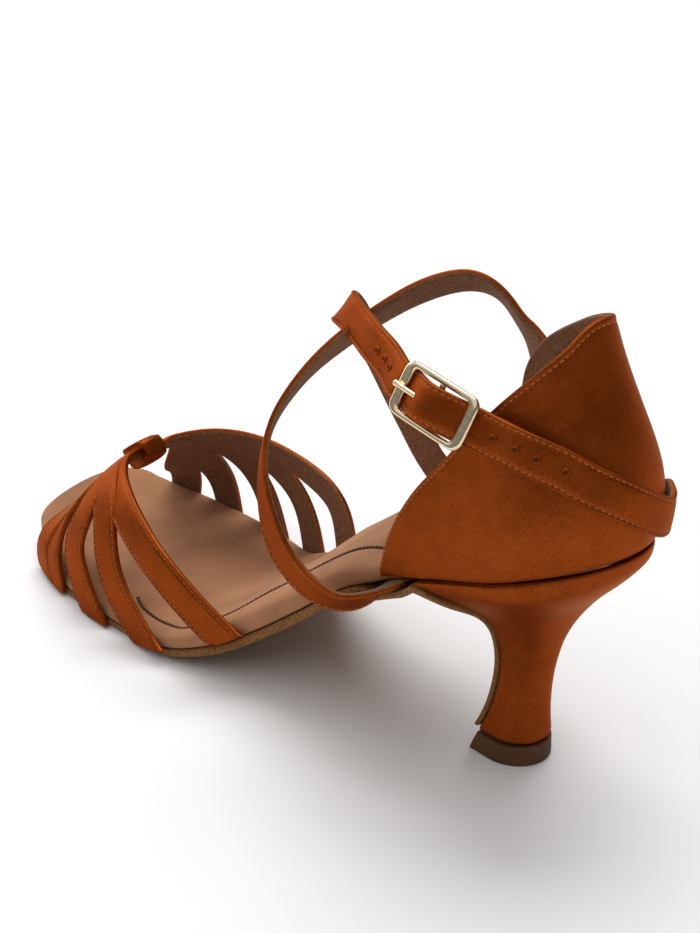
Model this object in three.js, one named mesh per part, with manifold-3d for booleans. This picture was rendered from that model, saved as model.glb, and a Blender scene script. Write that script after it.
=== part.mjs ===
// A left ballroom dance sandal with a flared heel: five crossed straps at the toes, held by a knot,
// an enclosed heel, and one long ankle strap that runs under the waist and through a buckle.
// Millimetres. +X points to the toe, +Y to the shoe's left, its outer side, +Z is up.
import * as THREE from 'three';
import { ParametricGeometry } from 'three/addons/geometries/ParametricGeometry.js';
import { mergeVertices } from 'three/addons/utils/BufferGeometryUtils.js';
import Module from 'manifold-3d';

const wasm = await Module();
wasm.setup();

// Driving dimensions
const soleLength = 223;
const ballHalfWidth = 36.6;
const seatHalfWidth = 24.6;
const seatRound = 28;
const seatHeight = 69;
const gap = 0.3;
const insoleSeatThickness = 3.5;
const insoleWaistThickness = 8.5;
const insoleBallThickness = 2.8;
const insoleEdgeShare = 0.45;
const outsoleBallThickness = 2;
const outsoleWaistThickness = 3.6;
const waistRise = 9;
const breastFlapThickness = 1.5;
const heelLength = 50;
const topPieceLength = 18.4;
const topPieceHalfWidth = 9.1;
const topPieceThickness = 5.6;
const topPieceBack = 26.4;
const counterWall = 1.8;
const quarterLength = 61;
const counterHeight = 56;
const vampStrapWidth = 10.6;
const vampStrapThickness = 1.7;
const vampFormHeight = 33.5;
const formSideShare = 0.78;
const formTopShare = 0.725;
const strapGatherShare = 0.56;
const strapFootLength = 9;
const strapWrapDepth = 1.6;
const knotLength = 8.5;
const knotWall = 1.6;
const knotCoreWidth = 7;
const knotCoreThickness = 3.4;
const knotCorner = 1.4;
const ankleStrapWidth = 10;
const ankleStrapThickness = 1.8;
const tunnelAt = 59.5;
const tunnelRamp = 5;
const insetRun = 4;
const breastRoom = 0.5;
const prongCrown = 0.2;
const buckleLength = 23.7;
const buckleWidth = 14;
const buckleThickness = 1.8;
const buckleLongBar = 1.65;
const buckleShortBar = 3;
const buckleCorner = 3;
const buckleBevel = 0.3;
const centreBarRadius = 0.8;
const prongRadius = 0.7;
const tabWidth = 8;
const tabThickness = 1;

// The sole from heel to toe: place along the length, half widths as shares of the ball's,
// height of the insole's underside as a share of the seat's, and how much of the waist's
// rise, of the waist's thicknesses and of the inset under the straps each place has.
const soleRows = [
  { at: 0.126, outer: 0.672, inner: -0.672, rest: 0.870, rise: 0.00, waist: 0.00, inset: 0.0 },
  { at: 0.200, outer: 0.668, inner: -0.665, rest: 0.793, rise: 0.00, waist: 0.05, inset: 0.0 },
  { at: 0.270, outer: 0.645, inner: -0.650, rest: 0.697, rise: 0.28, waist: 0.35, inset: 0.0 },
  { at: 0.336, outer: 0.640, inner: -0.620, rest: 0.590, rise: 0.67, waist: 0.80, inset: 0.0 },
  { at: 0.404, outer: 0.670, inner: -0.600, rest: 0.420, rise: 0.97, waist: 1.00, inset: 0.0 },
  { at: 0.471, outer: 0.765, inner: -0.620, rest: 0.258, rise: 1.00, waist: 0.95, inset: 0.0 },
  { at: 0.538, outer: 0.895, inner: -0.690, rest: 0.126, rise: 0.75, waist: 0.60, inset: 0.0 },
  { at: 0.605, outer: 0.985, inner: -0.790, rest: 0.052, rise: 0.33, waist: 0.20, inset: 0.1 },
  { at: 0.664, outer: 1.010, inner: -0.890, rest: 0.0333, rise: 0.00, waist: 0.00, inset: 1.0 },
  { at: 0.735, outer: 1.000, inner: -0.960, rest: 0.0333, rise: 0.00, waist: 0.00, inset: 1.0 },
  { at: 0.800, outer: 0.950, inner: -0.985, rest: 0.0333, rise: 0.00, waist: 0.00, inset: 1.0 },
  { at: 0.865, outer: 0.860, inner: -0.960, rest: 0.042, rise: 0.00, waist: 0.00, inset: 1.0 },
  { at: 0.920, outer: 0.710, inner: -0.880, rest: 0.060, rise: 0.00, waist: 0.00, inset: 0.9 },
  { at: 0.960, outer: 0.480, inner: -0.770, rest: 0.084, rise: 0.00, waist: 0.00, inset: 0.2 },
  { at: 0.986, outer: 0.160, inner: -0.650, rest: 0.105, rise: 0.00, waist: 0.00, inset: 0.0 },
  { at: 1.000, outer: -0.380, inner: -0.380, rest: 0.120, rise: 0.00, waist: 0.00, inset: 0.0 },
];

// The heel from the top piece up to the seat: height of its front and of its back between the two,
// places of front and back along the heel, and half width as a share of the seat's.
const heelRows = [
  { frontUp: 0.000, backUp: 0.000, front: 0.848, back: 0.531, half: 0.352 },
  { frontUp: 0.092, backUp: 0.092, front: 0.792, back: 0.538, half: 0.310 },
  { frontUp: 0.218, backUp: 0.224, front: 0.750, back: 0.526, half: 0.268 },
  { frontUp: 0.338, backUp: 0.355, front: 0.724, back: 0.500, half: 0.276 },
  { frontUp: 0.448, backUp: 0.486, front: 0.720, back: 0.449, half: 0.320 },
  { frontUp: 0.541, backUp: 0.606, front: 0.728, back: 0.367, half: 0.430 },
  { frontUp: 0.612, backUp: 0.721, front: 0.752, back: 0.255, half: 0.610 },
  { frontUp: 0.666, backUp: 0.831, front: 0.785, back: 0.117, half: 0.810 },
  { frontUp: 0.701, backUp: 0.918, front: 0.845, back: 0.029, half: 0.950 },
];
// The flap down the heel's front, from the seat to the top piece, in shares of the same height
const flapRows = [0.694, 0.661, 0.623, 0.574, 0.508, 0.431, 0.344, 0.245, 0.147, 0.071, 0.007];
const flapTurn = { from: 0.519, to: 0.716, lean: 1.2 };
const heelStraightShare = 0.45;
const heelFrontShare = 0.93;

// The heel counter: how far its back leans, and how wide it is, from the seat up to its top,
// as shares of its height, and the height of its top line along each side.
const counterRows = [
  { up: 0.00, lean: 0.000, wide: 1.000 },
  { up: 0.09, lean: -0.028, wide: 1.030 },
  { up: 0.19, lean: -0.040, wide: 1.035 },
  { up: 0.33, lean: -0.026, wide: 1.000 },
  { up: 0.45, lean: 0.012, wide: 0.950 },
  { up: 0.56, lean: 0.060, wide: 0.890 },
  { up: 0.67, lean: 0.110, wide: 0.830 },
  { up: 0.78, lean: 0.158, wide: 0.775 },
  { up: 0.89, lean: 0.200, wide: 0.730 },
  { up: 1.00, lean: 0.236, wide: 0.700 },
];
const topLineRows = [
  { at: 0.000, outer: 1.000, inner: 1.000 },
  { at: 0.060, outer: 0.935, inner: 0.990 },
  { at: 0.170, outer: 0.868, inner: 0.984 },
  { at: 0.330, outer: 0.786, inner: 0.977 },
  { at: 0.460, outer: 0.712, inner: 0.960 },
  { at: 0.570, outer: 0.640, inner: 0.936 },
  { at: 0.680, outer: 0.550, inner: 0.895 },
  { at: 0.800, outer: 0.455, inner: 0.800 },
  { at: 0.885, outer: 0.350, inner: 0.620 },
  { at: 0.943, outer: 0.235, inner: 0.440 },
  { at: 0.975, outer: 0.140, inner: 0.300 },
  { at: 1.000, outer: 0.050, inner: 0.070 },
];

// The five straps on each side, on the foot's form: the place of the foot at the sole's edge, then of
// a low and of a high point, as shares of the sole's length, and how far those are round the form,
// from 0 at the outer edge of the sole to 1 at its inner edge.
const vampRows = [
  { outer: true, foot: 0.879, lowAt: 0.898, lowRound: 0.093, highAt: 0.877, highRound: 0.235 },
  { outer: true, foot: 0.845, lowAt: 0.854, lowRound: 0.080, highAt: 0.849, highRound: 0.261 },
  { outer: true, foot: 0.748, lowAt: 0.802, lowRound: 0.099, highAt: 0.787, highRound: 0.221 },
  { outer: true, foot: 0.633, lowAt: 0.706, lowRound: 0.055, highAt: 0.743, highRound: 0.224 },
  { outer: true, foot: 0.505, lowAt: 0.600, lowRound: 0.115, highAt: 0.645, highRound: 0.150 },
  { outer: false, foot: 0.918, lowAt: 0.914, lowRound: 0.868, highAt: 0.902, highRound: 0.730 },
  { outer: false, foot: 0.842, lowAt: 0.847, lowRound: 0.885, highAt: 0.840, highRound: 0.676 },
  { outer: false, foot: 0.743, lowAt: 0.768, lowRound: 0.905, highAt: 0.807, highRound: 0.741 },
  { outer: false, foot: 0.652, lowAt: 0.673, lowRound: 0.915, highAt: 0.751, highRound: 0.806 },
  { outer: false, foot: 0.575, lowAt: 0.590, lowRound: 0.898, highAt: 0.693, highRound: 0.800 },
];
// The form that the straps lie on, from the waist to the toe: its height as a share of the highest.
const formRows = [
  { at: 0.45, up: 1.54 },
  { at: 0.55, up: 1.43 },
  { at: 0.65, up: 1.50 },
  { at: 0.75, up: 1.24 },
  { at: 0.82, up: 0.95 },
  { at: 0.88, up: 0.49 },
  { at: 0.94, up: 0.30 },
  { at: 1.00, up: 0.20 },
];
const knotAtShare = 0.806;
const knotRoundShare = 0.483;
const knotEntryShare = 0.1;
const knotEntryAtShare = 0.96;
const gatherFromShare = 0.45;

// The buckle's middle, the way to its front bar, and the way its outside faces. Here and along the
// strap, along is a share of the sole's length, out of the ball's half width, and up runs from
// 0 at the floor to 1 at the seat and 2 at the counter's top.
const buckleSeat = {
  along: 0.182, out: 0.710, up: 1.612,
  towardAlong: 0.982, towardOut: 0, towardUp: 0.187,
  faceAlong: -0.081, faceOut: 0.902, faceUp: 0.425,
};
// The strap in the buckle: place toward the front bar as a share of half its length
const strapThroughBuckle = [
  { toward: 1.12, over: false },
  { toward: 0.84, over: false },
  { toward: 0, over: true },
  { toward: -0.84, over: false },
];
// The tab round the middle bar, in shares of its own turn, and where it is sewn on, as the strap's
// ends are below
const tabRows = [
  { toward: -5, out: -1.95, faceToward: 0, faceOut: -1 },
  { toward: -1.5, out: -1, faceToward: 0, faceOut: -1 },
  { toward: 0, out: -1, faceToward: 0, faceOut: -1 },
  { toward: 1, out: 0, faceToward: 1, faceOut: 0 },
  { toward: 0, out: 1, faceToward: 0, faceOut: 1 },
  { toward: -1.5, out: 0.75, faceToward: -0.2, faceOut: 1 },
];
const tabSewnEnd = [
  { around: 0.300, up: 0.556, off: 1.35 },
  { around: 0.370, up: 0.622, off: 1.50 },
];

// The ankle strap. Its ends lie on the counter: place round it, from 1 at the outer front to -1 at
// the inner front, height as a share of the counter's, and how far its middle is off the surface,
// as a share of its own thickness.
const strapSewnEnd = [
  { around: -0.60, up: 0.640, off: 0.78 },
  { around: -0.65, up: 0.760, off: 0.83 },
];
const strapFreeEnd = [
  { around: 0.380, up: 0.632, off: 1.83 },
  { around: 0.312, up: 0.568, off: 1.72 },
  { around: 0.240, up: 0.496, off: 1.17 },
  { around: 0.172, up: 0.411, off: 0.81 },
  { around: 0.096, up: 0.332, off: 0.81 },
  { around: 0.016, up: 0.246, off: 0.81 },
  { around: -0.104, up: 0.150, off: 0.81 },
  { around: -0.200, up: 0.145, off: 0.81 },
  { around: -0.300, up: 0.185, off: 0.81 },
];
// Its middle line between them, and the way its satin side faces, before and after the tunnel
const strapOverInstep = [
  { along: 0.235, out: -0.585, up: 1.616, faceAlong: -0.20, faceOut: -0.91, faceUp: 0.36 },
  { along: 0.252, out: -0.568, up: 1.680, faceAlong: -0.30, faceOut: -0.80, faceUp: 0.50 },
  { along: 0.272, out: -0.541, up: 1.768, faceAlong: -0.22, faceOut: -0.76, faceUp: 0.61 },
  { along: 0.291, out: -0.470, up: 1.823, faceAlong: 0.15, faceOut: -0.70, faceUp: 0.70 },
  { along: 0.311, out: -0.383, up: 1.836, faceAlong: 0.50, faceOut: -0.55, faceUp: 0.66 },
  { along: 0.340, out: -0.197, up: 1.793, faceAlong: 0.68, faceOut: -0.38, faceUp: 0.62 },
  { along: 0.368, out: 0.016, up: 1.702, faceAlong: 0.79, faceOut: -0.15, faceUp: 0.60 },
  { along: 0.399, out: 0.249, up: 1.568, faceAlong: 0.81, faceOut: -0.04, faceUp: 0.59 },
  { along: 0.420, out: 0.464, up: 1.434, faceAlong: 0.80, faceOut: 0.19, faceUp: 0.57 },
  { along: 0.439, out: 0.639, up: 1.255, faceAlong: 0.77, faceOut: 0.41, faceUp: 0.48 },
  { along: 0.443, out: 0.730, up: 1.132, faceAlong: 0.72, faceOut: 0.64, faceUp: 0.27 },
  { along: 0.441, out: 0.787, up: 0.997, faceAlong: 0.60, faceOut: 0.80, faceUp: 0.10 },
  { along: 0.433, out: 0.825, up: 0.897, faceAlong: 0.43, faceOut: 0.90, faceUp: 0.00 },
  { along: 0.417, out: 0.858, up: 0.787, faceAlong: 0.23, faceOut: 0.97, faceUp: -0.02 },
  { along: 0.396, out: 0.872, up: 0.700, faceAlong: 0.09, faceOut: 0.99, faceUp: -0.11 },
  { along: 0.368, out: 0.855, up: 0.629, faceAlong: -0.02, faceOut: 0.98, faceUp: -0.21 },
  { along: 0.336, out: 0.828, up: 0.597, faceAlong: -0.15, faceOut: 0.90, faceUp: -0.42 },
  { along: 0.305, out: 0.770, up: 0.597, faceAlong: -0.34, faceOut: 0.62, faceUp: -0.71 },
];
const tunnelShares = [0.94, 0.5, 0, -0.5, -0.94];
const strapToBuckle = [
  { along: 0.287, out: -0.751, up: 0.699, faceAlong: -0.36, faceOut: -0.50, faceUp: -0.80 },
  { along: 0.323, out: -0.833, up: 0.670, faceAlong: -0.20, faceOut: -0.85, faceUp: -0.50 },
  { along: 0.361, out: -0.820, up: 0.674, faceAlong: 0.05, faceOut: -0.97, faceUp: -0.22 },
  { along: 0.395, out: -0.754, up: 0.725, faceAlong: 0.14, faceOut: -0.99, faceUp: 0.00 },
  { along: 0.413, out: -0.680, up: 0.819, faceAlong: 0.16, faceOut: -0.97, faceUp: 0.14 },
  { along: 0.422, out: -0.601, up: 0.930, faceAlong: 0.19, faceOut: -0.94, faceUp: 0.27 },
  { along: 0.428, out: -0.481, up: 1.088, faceAlong: 0.21, faceOut: -0.90, faceUp: 0.38 },
  { along: 0.428, out: -0.279, up: 1.339, faceAlong: 0.20, faceOut: -0.86, faceUp: 0.46 },
  { along: 0.427, out: -0.090, up: 1.534, faceAlong: 0.22, faceOut: -0.80, faceUp: 0.56 },
  { along: 0.422, out: 0.079, up: 1.666, faceAlong: 0.74, faceOut: 0.17, faceUp: 0.65 },
  { along: 0.405, out: 0.172, up: 1.693, faceAlong: 0.48, faceOut: 0.78, faceUp: 0.40 },
  { along: 0.371, out: 0.270, up: 1.686, faceAlong: 0.40, faceOut: 0.87, faceUp: 0.30 },
  { along: 0.325, out: 0.404, up: 1.673, faceAlong: 0.35, faceOut: 0.87, faceUp: 0.34 },
  { along: 0.281, out: 0.508, up: 1.652, faceAlong: 0.24, faceOut: 0.89, faceUp: 0.38 },
];

// Smooth column of a table over its "at" or "up" column, without overshoot between rows
function column(rows, key, over = 'at') {
  const x = rows.map((row) => row[over]);
  const y = rows.map((row) => row[key]);
  const steps = x.slice(1).map((value, i) => value - x[i]);
  const slopes = steps.map((step, i) => (y[i + 1] - y[i]) / step);
  const tangents = x.map((value, i) => {
    if (i === 0) return slopes[0];
    if (i === x.length - 1) return slopes[i - 1];
    const before = slopes[i - 1];
    const after = slopes[i];
    if (before * after <= 0) return 0;
    const early = 2 * steps[i] + steps[i - 1];
    const late = steps[i] + 2 * steps[i - 1];
    return (early + late) / (early / before + late / after);
  });
  return (place) => {
    const at = THREE.MathUtils.clamp(place, x[0], x[x.length - 1]);
    let i = 0;
    while (i < steps.length - 1 && at > x[i + 1]) i += 1;
    const t = (at - x[i]) / steps[i];
    const rise = (1 - t) ** 2 * (1 + 2 * t) * y[i] + t * t * (3 - 2 * t) * y[i + 1];
    return rise + steps[i] * (t * (1 - t) ** 2 * tangents[i] - t * t * (1 - t) * tangents[i + 1]);
  };
}

// Solids. A tube of rings with the same number of points, closed at both ends.
function mergedGeometry(geometry) {
  geometry.deleteAttribute('normal');
  geometry.deleteAttribute('uv');
  return mergeVertices(geometry, 1e-4);
}

function ringCentre(ring) {
  return ring.reduce((sum, point) => sum.add(point), new THREE.Vector3()).divideScalar(ring.length);
}

function tubeOfRings(rings) {
  const first = ringCentre(rings[0]);
  const last = ringCentre(rings[rings.length - 1]);
  const stations = [rings[0].map(() => first), ...rings, rings[0].map(() => last)];
  const around = rings[0].length;
  const surface = (u, v, target) => {
    const ring = stations[Math.round(v * (stations.length - 1))];
    target.copy(ring[Math.round(u * around) % around]);
  };
  return mergedGeometry(new ParametricGeometry(surface, around, stations.length - 1));
}

function toManifold(geometry) {
  const mesh = new wasm.Mesh({
    numProp: 3,
    vertProperties: new Float32Array(geometry.attributes.position.array),
    triVerts: withoutSlivers(geometry),
  });
  const solid = new wasm.Manifold(mesh);
  return solid.volume() < 0 ? flipped(geometry) : solid;
}

function withoutSlivers(geometry) {
  const index = geometry.index.array;
  const kept = [];
  for (let i = 0; i < index.length; i += 3) {
    const [a, b, c] = [index[i], index[i + 1], index[i + 2]];
    if (a !== b && b !== c && c !== a) kept.push(a, b, c);
  }
  return new Uint32Array(kept);
}

function flipped(geometry) {
  const triVerts = withoutSlivers(geometry);
  for (let i = 0; i < triVerts.length; i += 3) {
    [triVerts[i + 1], triVerts[i + 2]] = [triVerts[i + 2], triVerts[i + 1]];
  }
  const vertProperties = new Float32Array(geometry.attributes.position.array);
  return new wasm.Manifold(new wasm.Mesh({ numProp: 3, vertProperties, triVerts }));
}

function toGeometry(solid) {
  const mesh = solid.getMesh();
  const geometry = new THREE.BufferGeometry();
  const points = new Float32Array((mesh.vertProperties.length / mesh.numProp) * 3);
  for (let i = 0; i < points.length / 3; i += 1) {
    for (let k = 0; k < 3; k += 1) points[3 * i + k] = mesh.vertProperties[mesh.numProp * i + k];
  }
  geometry.setAttribute('position', new THREE.BufferAttribute(points, 3));
  geometry.setIndex(new THREE.BufferAttribute(mesh.triVerts, 1));
  geometry.computeVertexNormals();
  return geometry;
}

// The sole's outline and levels
const solePlan = {
  outer: column(soleRows, 'outer'),
  inner: column(soleRows, 'inner'),
  rest: column([{ at: 0, rest: 1 }, { at: 0.054, rest: 0.947 }, ...soleRows], 'rest'),
  rise: column(soleRows, 'rise'),
  waist: column(soleRows, 'waist'),
  inset: column(soleRows, 'inset'),
};
const toeStart = 0.96;
const waistMiddle = 0.4;

function outline(x, side) {
  const at = x / soleLength;
  const edge = side > 0 ? solePlan.outer : solePlan.inner;
  if (x < seatRound) {
    const seat = seatHalfWidth * Math.sqrt(1 - (1 - x / seatRound) ** 2);
    return side * seat;
  }
  const tip = soleRows[soleRows.length - 1].outer;
  if (at > toeStart) {
    const turn = Math.sqrt(Math.max(0, 1 - ((at - toeStart) / (1 - toeStart)) ** 2));
    return ballHalfWidth * (tip + (edge(toeStart) - tip) * turn);
  }
  return ballHalfWidth * edge(at);
}

function acrossShare(x, y) {
  const outer = outline(x, 1);
  const inner = outline(x, -1);
  return THREE.MathUtils.clamp((outer - y) / Math.max(outer - inner, 0.001), 0, 1);
}

// Underside of the insole; the inner side of the waist stands higher
function restHeight(x, y) {
  const at = x / soleLength;
  return seatHeight * solePlan.rest(at) + waistRise * solePlan.rise(at) * acrossShare(x, y);
}

function insoleThickness(x) {
  const at = x / soleLength;
  const plain = at < waistMiddle ? insoleSeatThickness : insoleBallThickness;
  return THREE.MathUtils.lerp(plain, insoleWaistThickness, solePlan.waist(at));
}

function outsoleThickness(x) {
  const waist = solePlan.waist(x / soleLength);
  return THREE.MathUtils.lerp(outsoleBallThickness, outsoleWaistThickness, waist);
}

// The sole stays in under the toe straps, so that they can come down over its edge
function insetUnderStraps(x) {
  return solePlan.inset(x / soleLength) * (vampStrapThickness + gap);
}

// Room for the ankle strap between insole and outsole
function tunnelDrop(x) {
  const half = ankleStrapWidth / 2 + 3 * gap;
  const beyond = Math.abs(x - tunnelAt) - half;
  const fade = THREE.MathUtils.smoothstep(tunnelRamp - beyond, 0, tunnelRamp);
  return (ankleStrapThickness + 2 * gap) * fade;
}

function placesAlong(from, to, count) {
  return Array.from({ length: count + 1 }, (_, i) => {
    const turn = (1 - Math.cos((Math.PI * i) / count)) / 2;
    return THREE.MathUtils.lerp(from, to, turn);
  });
}

// Insole: a wrapped, padded footbed, let in behind the counter and under the toe straps
function insoleInset(x) {
  const behindCounter = 1 - THREE.MathUtils.smoothstep(x, quarterLength, quarterLength + insetRun);
  return behindCounter * (counterWall + gap) + insetUnderStraps(x);
}

function insoleRing(x, room) {
  const inset = insoleInset(x) - room;
  const middle = (outline(x, 1) + outline(x, -1)) / 2;
  const half = Math.max(0, (outline(x, 1) - outline(x, -1)) / 2 - inset);
  const thickness = insoleThickness(x) + room;
  const roundness = Math.min(half, thickness);
  const across = [1, 0.93, 0.8, 0.6, 0.25, -0.25, -0.6, -0.8, -0.93, -1];
  const top = across.map((share) => {
    const y = middle + half * share;
    const fromEdge = (half * (1 - Math.abs(share))) / Math.max(roundness, 0.01);
    const depth = THREE.MathUtils.clamp(fromEdge, 0, 1);
    const round = Math.sqrt(1 - (1 - depth) ** 2);
    const up = thickness * (insoleEdgeShare + (1 - insoleEdgeShare) * round);
    return new THREE.Vector3(x, y, restHeight(x, y) + up);
  });
  const bottom = [-1, -0.6, -0.2, 0.2, 0.6, 1].map((share) => {
    const y = middle + half * share;
    return new THREE.Vector3(x, y, restHeight(x, y) - room);
  });
  return [...top, ...bottom];
}

function insole(room) {
  const heelEnd = counterWall + gap;
  const places = placesAlong(heelEnd - room, soleLength - gap + room, 38);
  return tubeOfRings(places.map((x) => insoleRing(x, room)));
}

// Outsole: from the toe to the waist, then down the front of the heel as a thin flap
const outsoleAcross = [1, 0.6, 0.2, -0.2, -0.6, -1];

function outsolePlateRing(x, room) {
  const thickness = outsoleThickness(x);
  const drop = tunnelDrop(x);
  const middle = (outline(x, 1) + outline(x, -1)) / 2;
  const half = Math.max(0, (outline(x, 1) - outline(x, -1)) / 2 - insetUnderStraps(x) + room);
  const point = (share, down) => {
    const y = middle + half * share;
    return new THREE.Vector3(x, y, restHeight(x, y) - gap - drop - down);
  };
  const top = outsoleAcross.map((share) => point(share, -room));
  const bottom = [...outsoleAcross].reverse().map((share) => point(share, thickness + room));
  return [...top, ...bottom];
}

const heelColumns = {
  front: column(heelRows, 'front', 'frontUp'),
  half: column(heelRows, 'half', 'frontUp'),
};

// Height for a share of the way from the top piece to the seat
function heelUp(share) {
  return THREE.MathUtils.lerp(topPieceThickness + gap, seatHeight, share);
}

function outsoleFlapRing(frontUp) {
  const lean = flapTurn.lean * THREE.MathUtils.smoothstep(frontUp, flapTurn.from, flapTurn.to);
  const front = heelLength * heelColumns.front(frontUp);
  const half = seatHalfWidth * heelColumns.half(frontUp) - gap;
  const step = new THREE.Vector3(Math.cos(lean), 0, -Math.sin(lean));
  const breast = outsoleAcross.map((share) => new THREE.Vector3(front, half * share, heelUp(frontUp)));
  const inside = breast.map((point) => point.clone().addScaledVector(step, gap));
  const outside = breast.map((point) => point.clone().addScaledVector(step, gap + breastFlapThickness));
  return [...inside, ...outside.reverse()];
}

function outsole(room) {
  const places = placesAlong(heelLength + breastRoom, soleLength, 40).reverse();
  const plate = places.map((x) => outsolePlateRing(x, room));
  return tubeOfRings([...plate, ...flapRows.map(outsoleFlapRing)]);
}

// Heel block: rings from the top piece up to the seat
function heelRing(front, back, half, frontHeight, backHeight) {
  const length = front - back;
  const halfRing = [0, 0.5, 1].map((share) => ({
    back: heelStraightShare * share,
    out: THREE.MathUtils.lerp(heelFrontShare, 1, share),
  }));
  const turns = 7;
  for (let i = 1; i <= turns; i += 1) {
    const turn = (Math.PI / 2) * (i / turns);
    const round = (1 - heelStraightShare) * Math.sin(turn);
    halfRing.push({ back: heelStraightShare + round, out: Math.cos(turn) });
  }
  const point = (step, side) => {
    const up = THREE.MathUtils.lerp(frontHeight, backHeight, step.back);
    return new THREE.Vector3(front - length * step.back, side * half * step.out, up);
  };
  const outer = halfRing.map((step) => point(step, 1));
  const inner = halfRing.slice(0, -1).reverse().map((step) => point(step, -1));
  return [...outer, ...inner];
}

function heel() {
  const rings = heelRows.map((row) => heelRing(
    heelLength * row.front,
    heelLength * row.back,
    seatHalfWidth * row.half,
    heelUp(row.frontUp),
    heelUp(row.backUp),
  ));
  const seat = heelRing(heelLength, 0, seatHalfWidth, 0, 0);
  seat.forEach((point) => {
    const side = Math.sign(point.y);
    const x = Math.max(point.x, 0);
    point.y = side === 0 ? 0 : outline(x, side);
    point.z = restHeight(x, point.y) - gap;
  });
  rings.push(seat);
  return tubeOfRings(rings);
}

function topPiece() {
  const front = topPieceBack + topPieceLength;
  const lower = heelRing(front, topPieceBack, topPieceHalfWidth, 0, 0);
  const upperFront = heelLength * heelRows[0].front;
  const upperBack = heelLength * heelRows[0].back;
  const upperHalf = seatHalfWidth * heelRows[0].half;
  const upper = heelRing(upperFront, upperBack, upperHalf, topPieceThickness, topPieceThickness);
  return tubeOfRings([lower, upper]);
}

// Heel counter: both quarters and the back in one wall, open above and at the front
const counterLean = column(counterRows, 'lean', 'up');
const counterWide = column(counterRows, 'wide', 'up');
const topLine = { outer: column(topLineRows, 'outer'), inner: column(topLineRows, 'inner') };

function baseAlong(around) {
  return (quarterLength * (1 - Math.cos(Math.PI * Math.abs(around)))) / 2;
}

// Point of the counter's outside; around runs from 1 at the outer front to -1 at the inner front
function counterPoint(around, height) {
  const base = baseAlong(around);
  const up = height / counterHeight;
  const y = around === 0 ? 0 : outline(base, Math.sign(around)) * counterWide(up);
  const x = base + counterHeight * counterLean(up) * (1 - base / quarterLength);
  return new THREE.Vector3(x, y, restHeight(base, 0) + height);
}

function counterNormal(around, height) {
  const step = 0.004;
  const rise = 0.3;
  const beside = counterPoint(around + step, height).sub(counterPoint(around - step, height));
  const lower = counterPoint(around, Math.max(0, height - rise));
  const above = counterPoint(around, height + rise).sub(lower);
  return new THREE.Vector3().crossVectors(above, beside).normalize();
}

function counterOutside(around, height, offset) {
  return counterPoint(around, height).addScaledVector(counterNormal(around, height), offset);
}

function counterTop(around) {
  const at = baseAlong(around) / quarterLength;
  const side = around > 0 ? topLine.outer : topLine.inner;
  return counterHeight * side(at);
}

function counterRing(around) {
  const rows = 7;
  const top = counterTop(around);
  const heights = Array.from({ length: rows + 1 }, (_, i) => (top * i) / rows);
  const outside = heights.map((height) => counterPoint(around, height));
  const inside = [...heights].reverse().map((height) => {
    const point = counterOutside(around, height, -counterWall);
    point.z = Math.max(point.z, restHeight(baseAlong(around), 0));
    return point;
  });
  return [...outside, ...inside];
}

function heelCounter() {
  const sections = 42;
  const frontEdge = 0.999;
  const rings = [];
  for (let i = 0; i <= sections; i += 1) {
    rings.push(counterRing(frontEdge * (1 - (2 * i) / sections)));
  }
  return tubeOfRings(rings);
}

// Trimmed where it meets the insole and where the ankle strap comes out beside it
function heelCounterTrimmed() {
  return toManifold(heelCounter()).subtract(toManifold(insole(gap))).subtract(ankleStrapBand(gap));
}

// Vamp straps on the foot's form: round runs from 0 at the outer edge to 1 at the inner edge
const formUp = column(formRows, 'up');

function formPoint(at, round) {
  const x = soleLength * at;
  const angle = Math.PI * THREE.MathUtils.clamp(round, 0, 1);
  const middle = (outline(x, 1) + outline(x, -1)) / 2;
  const half = (outline(x, 1) - outline(x, -1)) / 2;
  const reach = half - insetUnderStraps(x) + gap;
  const y = middle + reach * Math.sign(Math.cos(angle)) * Math.abs(Math.cos(angle)) ** formSideShare;
  const z = restHeight(x, y) + vampFormHeight * formUp(at) * Math.sin(angle) ** formTopShare;
  return new THREE.Vector3(x, y, z);
}

function formNormal(at, round) {
  const step = 0.003;
  const near = THREE.MathUtils.clamp(round, step * 4, 1 - step * 4);
  const along = formPoint(at + step, near).sub(formPoint(at - step, near));
  const across = formPoint(at, near + step).sub(formPoint(at, near - step));
  return new THREE.Vector3().crossVectors(across, along).normalize();
}

// A strap's ring, with its edges a little thinner than its middle
function strapRing(middle, across, face, width, thickness) {
  const edgeShare = 0.75;
  const flatShare = 0.6;
  const point = (side, up) => middle.clone()
    .addScaledVector(across, (side * width) / 2)
    .addScaledVector(face, up * thickness);
  const outer = [point(1, 0), point(1, edgeShare), point(flatShare, 1)];
  const inner = [point(-flatShare, 1), point(-1, edgeShare), point(-1, 0)];
  return [...outer, ...inner];
}

// Middle line of a strap's inside: its path on the form from the sole's edge to the knot, evened out
const strapPlaces = 48;
const strapSmoothing = 12;
const strapSteps = 16;

function vampPath(row) {
  const entry = knotRoundShare + (row.outer ? -knotEntryShare : knotEntryShare);
  const climb = (round) => (row.outer ? round : 1 - round) ** formTopShare;
  const entryAt = THREE.MathUtils.lerp(row.highAt, knotAtShare, knotEntryAtShare);
  return new THREE.CatmullRomCurve3([
    new THREE.Vector3(row.foot, 0, 0),
    new THREE.Vector3(row.lowAt, climb(row.lowRound), 0),
    new THREE.Vector3(row.highAt, climb(row.highRound), 0),
    new THREE.Vector3(entryAt, climb(entry), 0),
    new THREE.Vector3(knotAtShare, climb(knotRoundShare), 0),
  ], false, 'centripetal');
}

function evened(points) {
  return points.map((point, i) => {
    if (i === 0 || i === points.length - 1) return point;
    return point.clone().multiplyScalar(2).add(points[i - 1]).add(points[i + 1]).divideScalar(4);
  });
}

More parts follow.
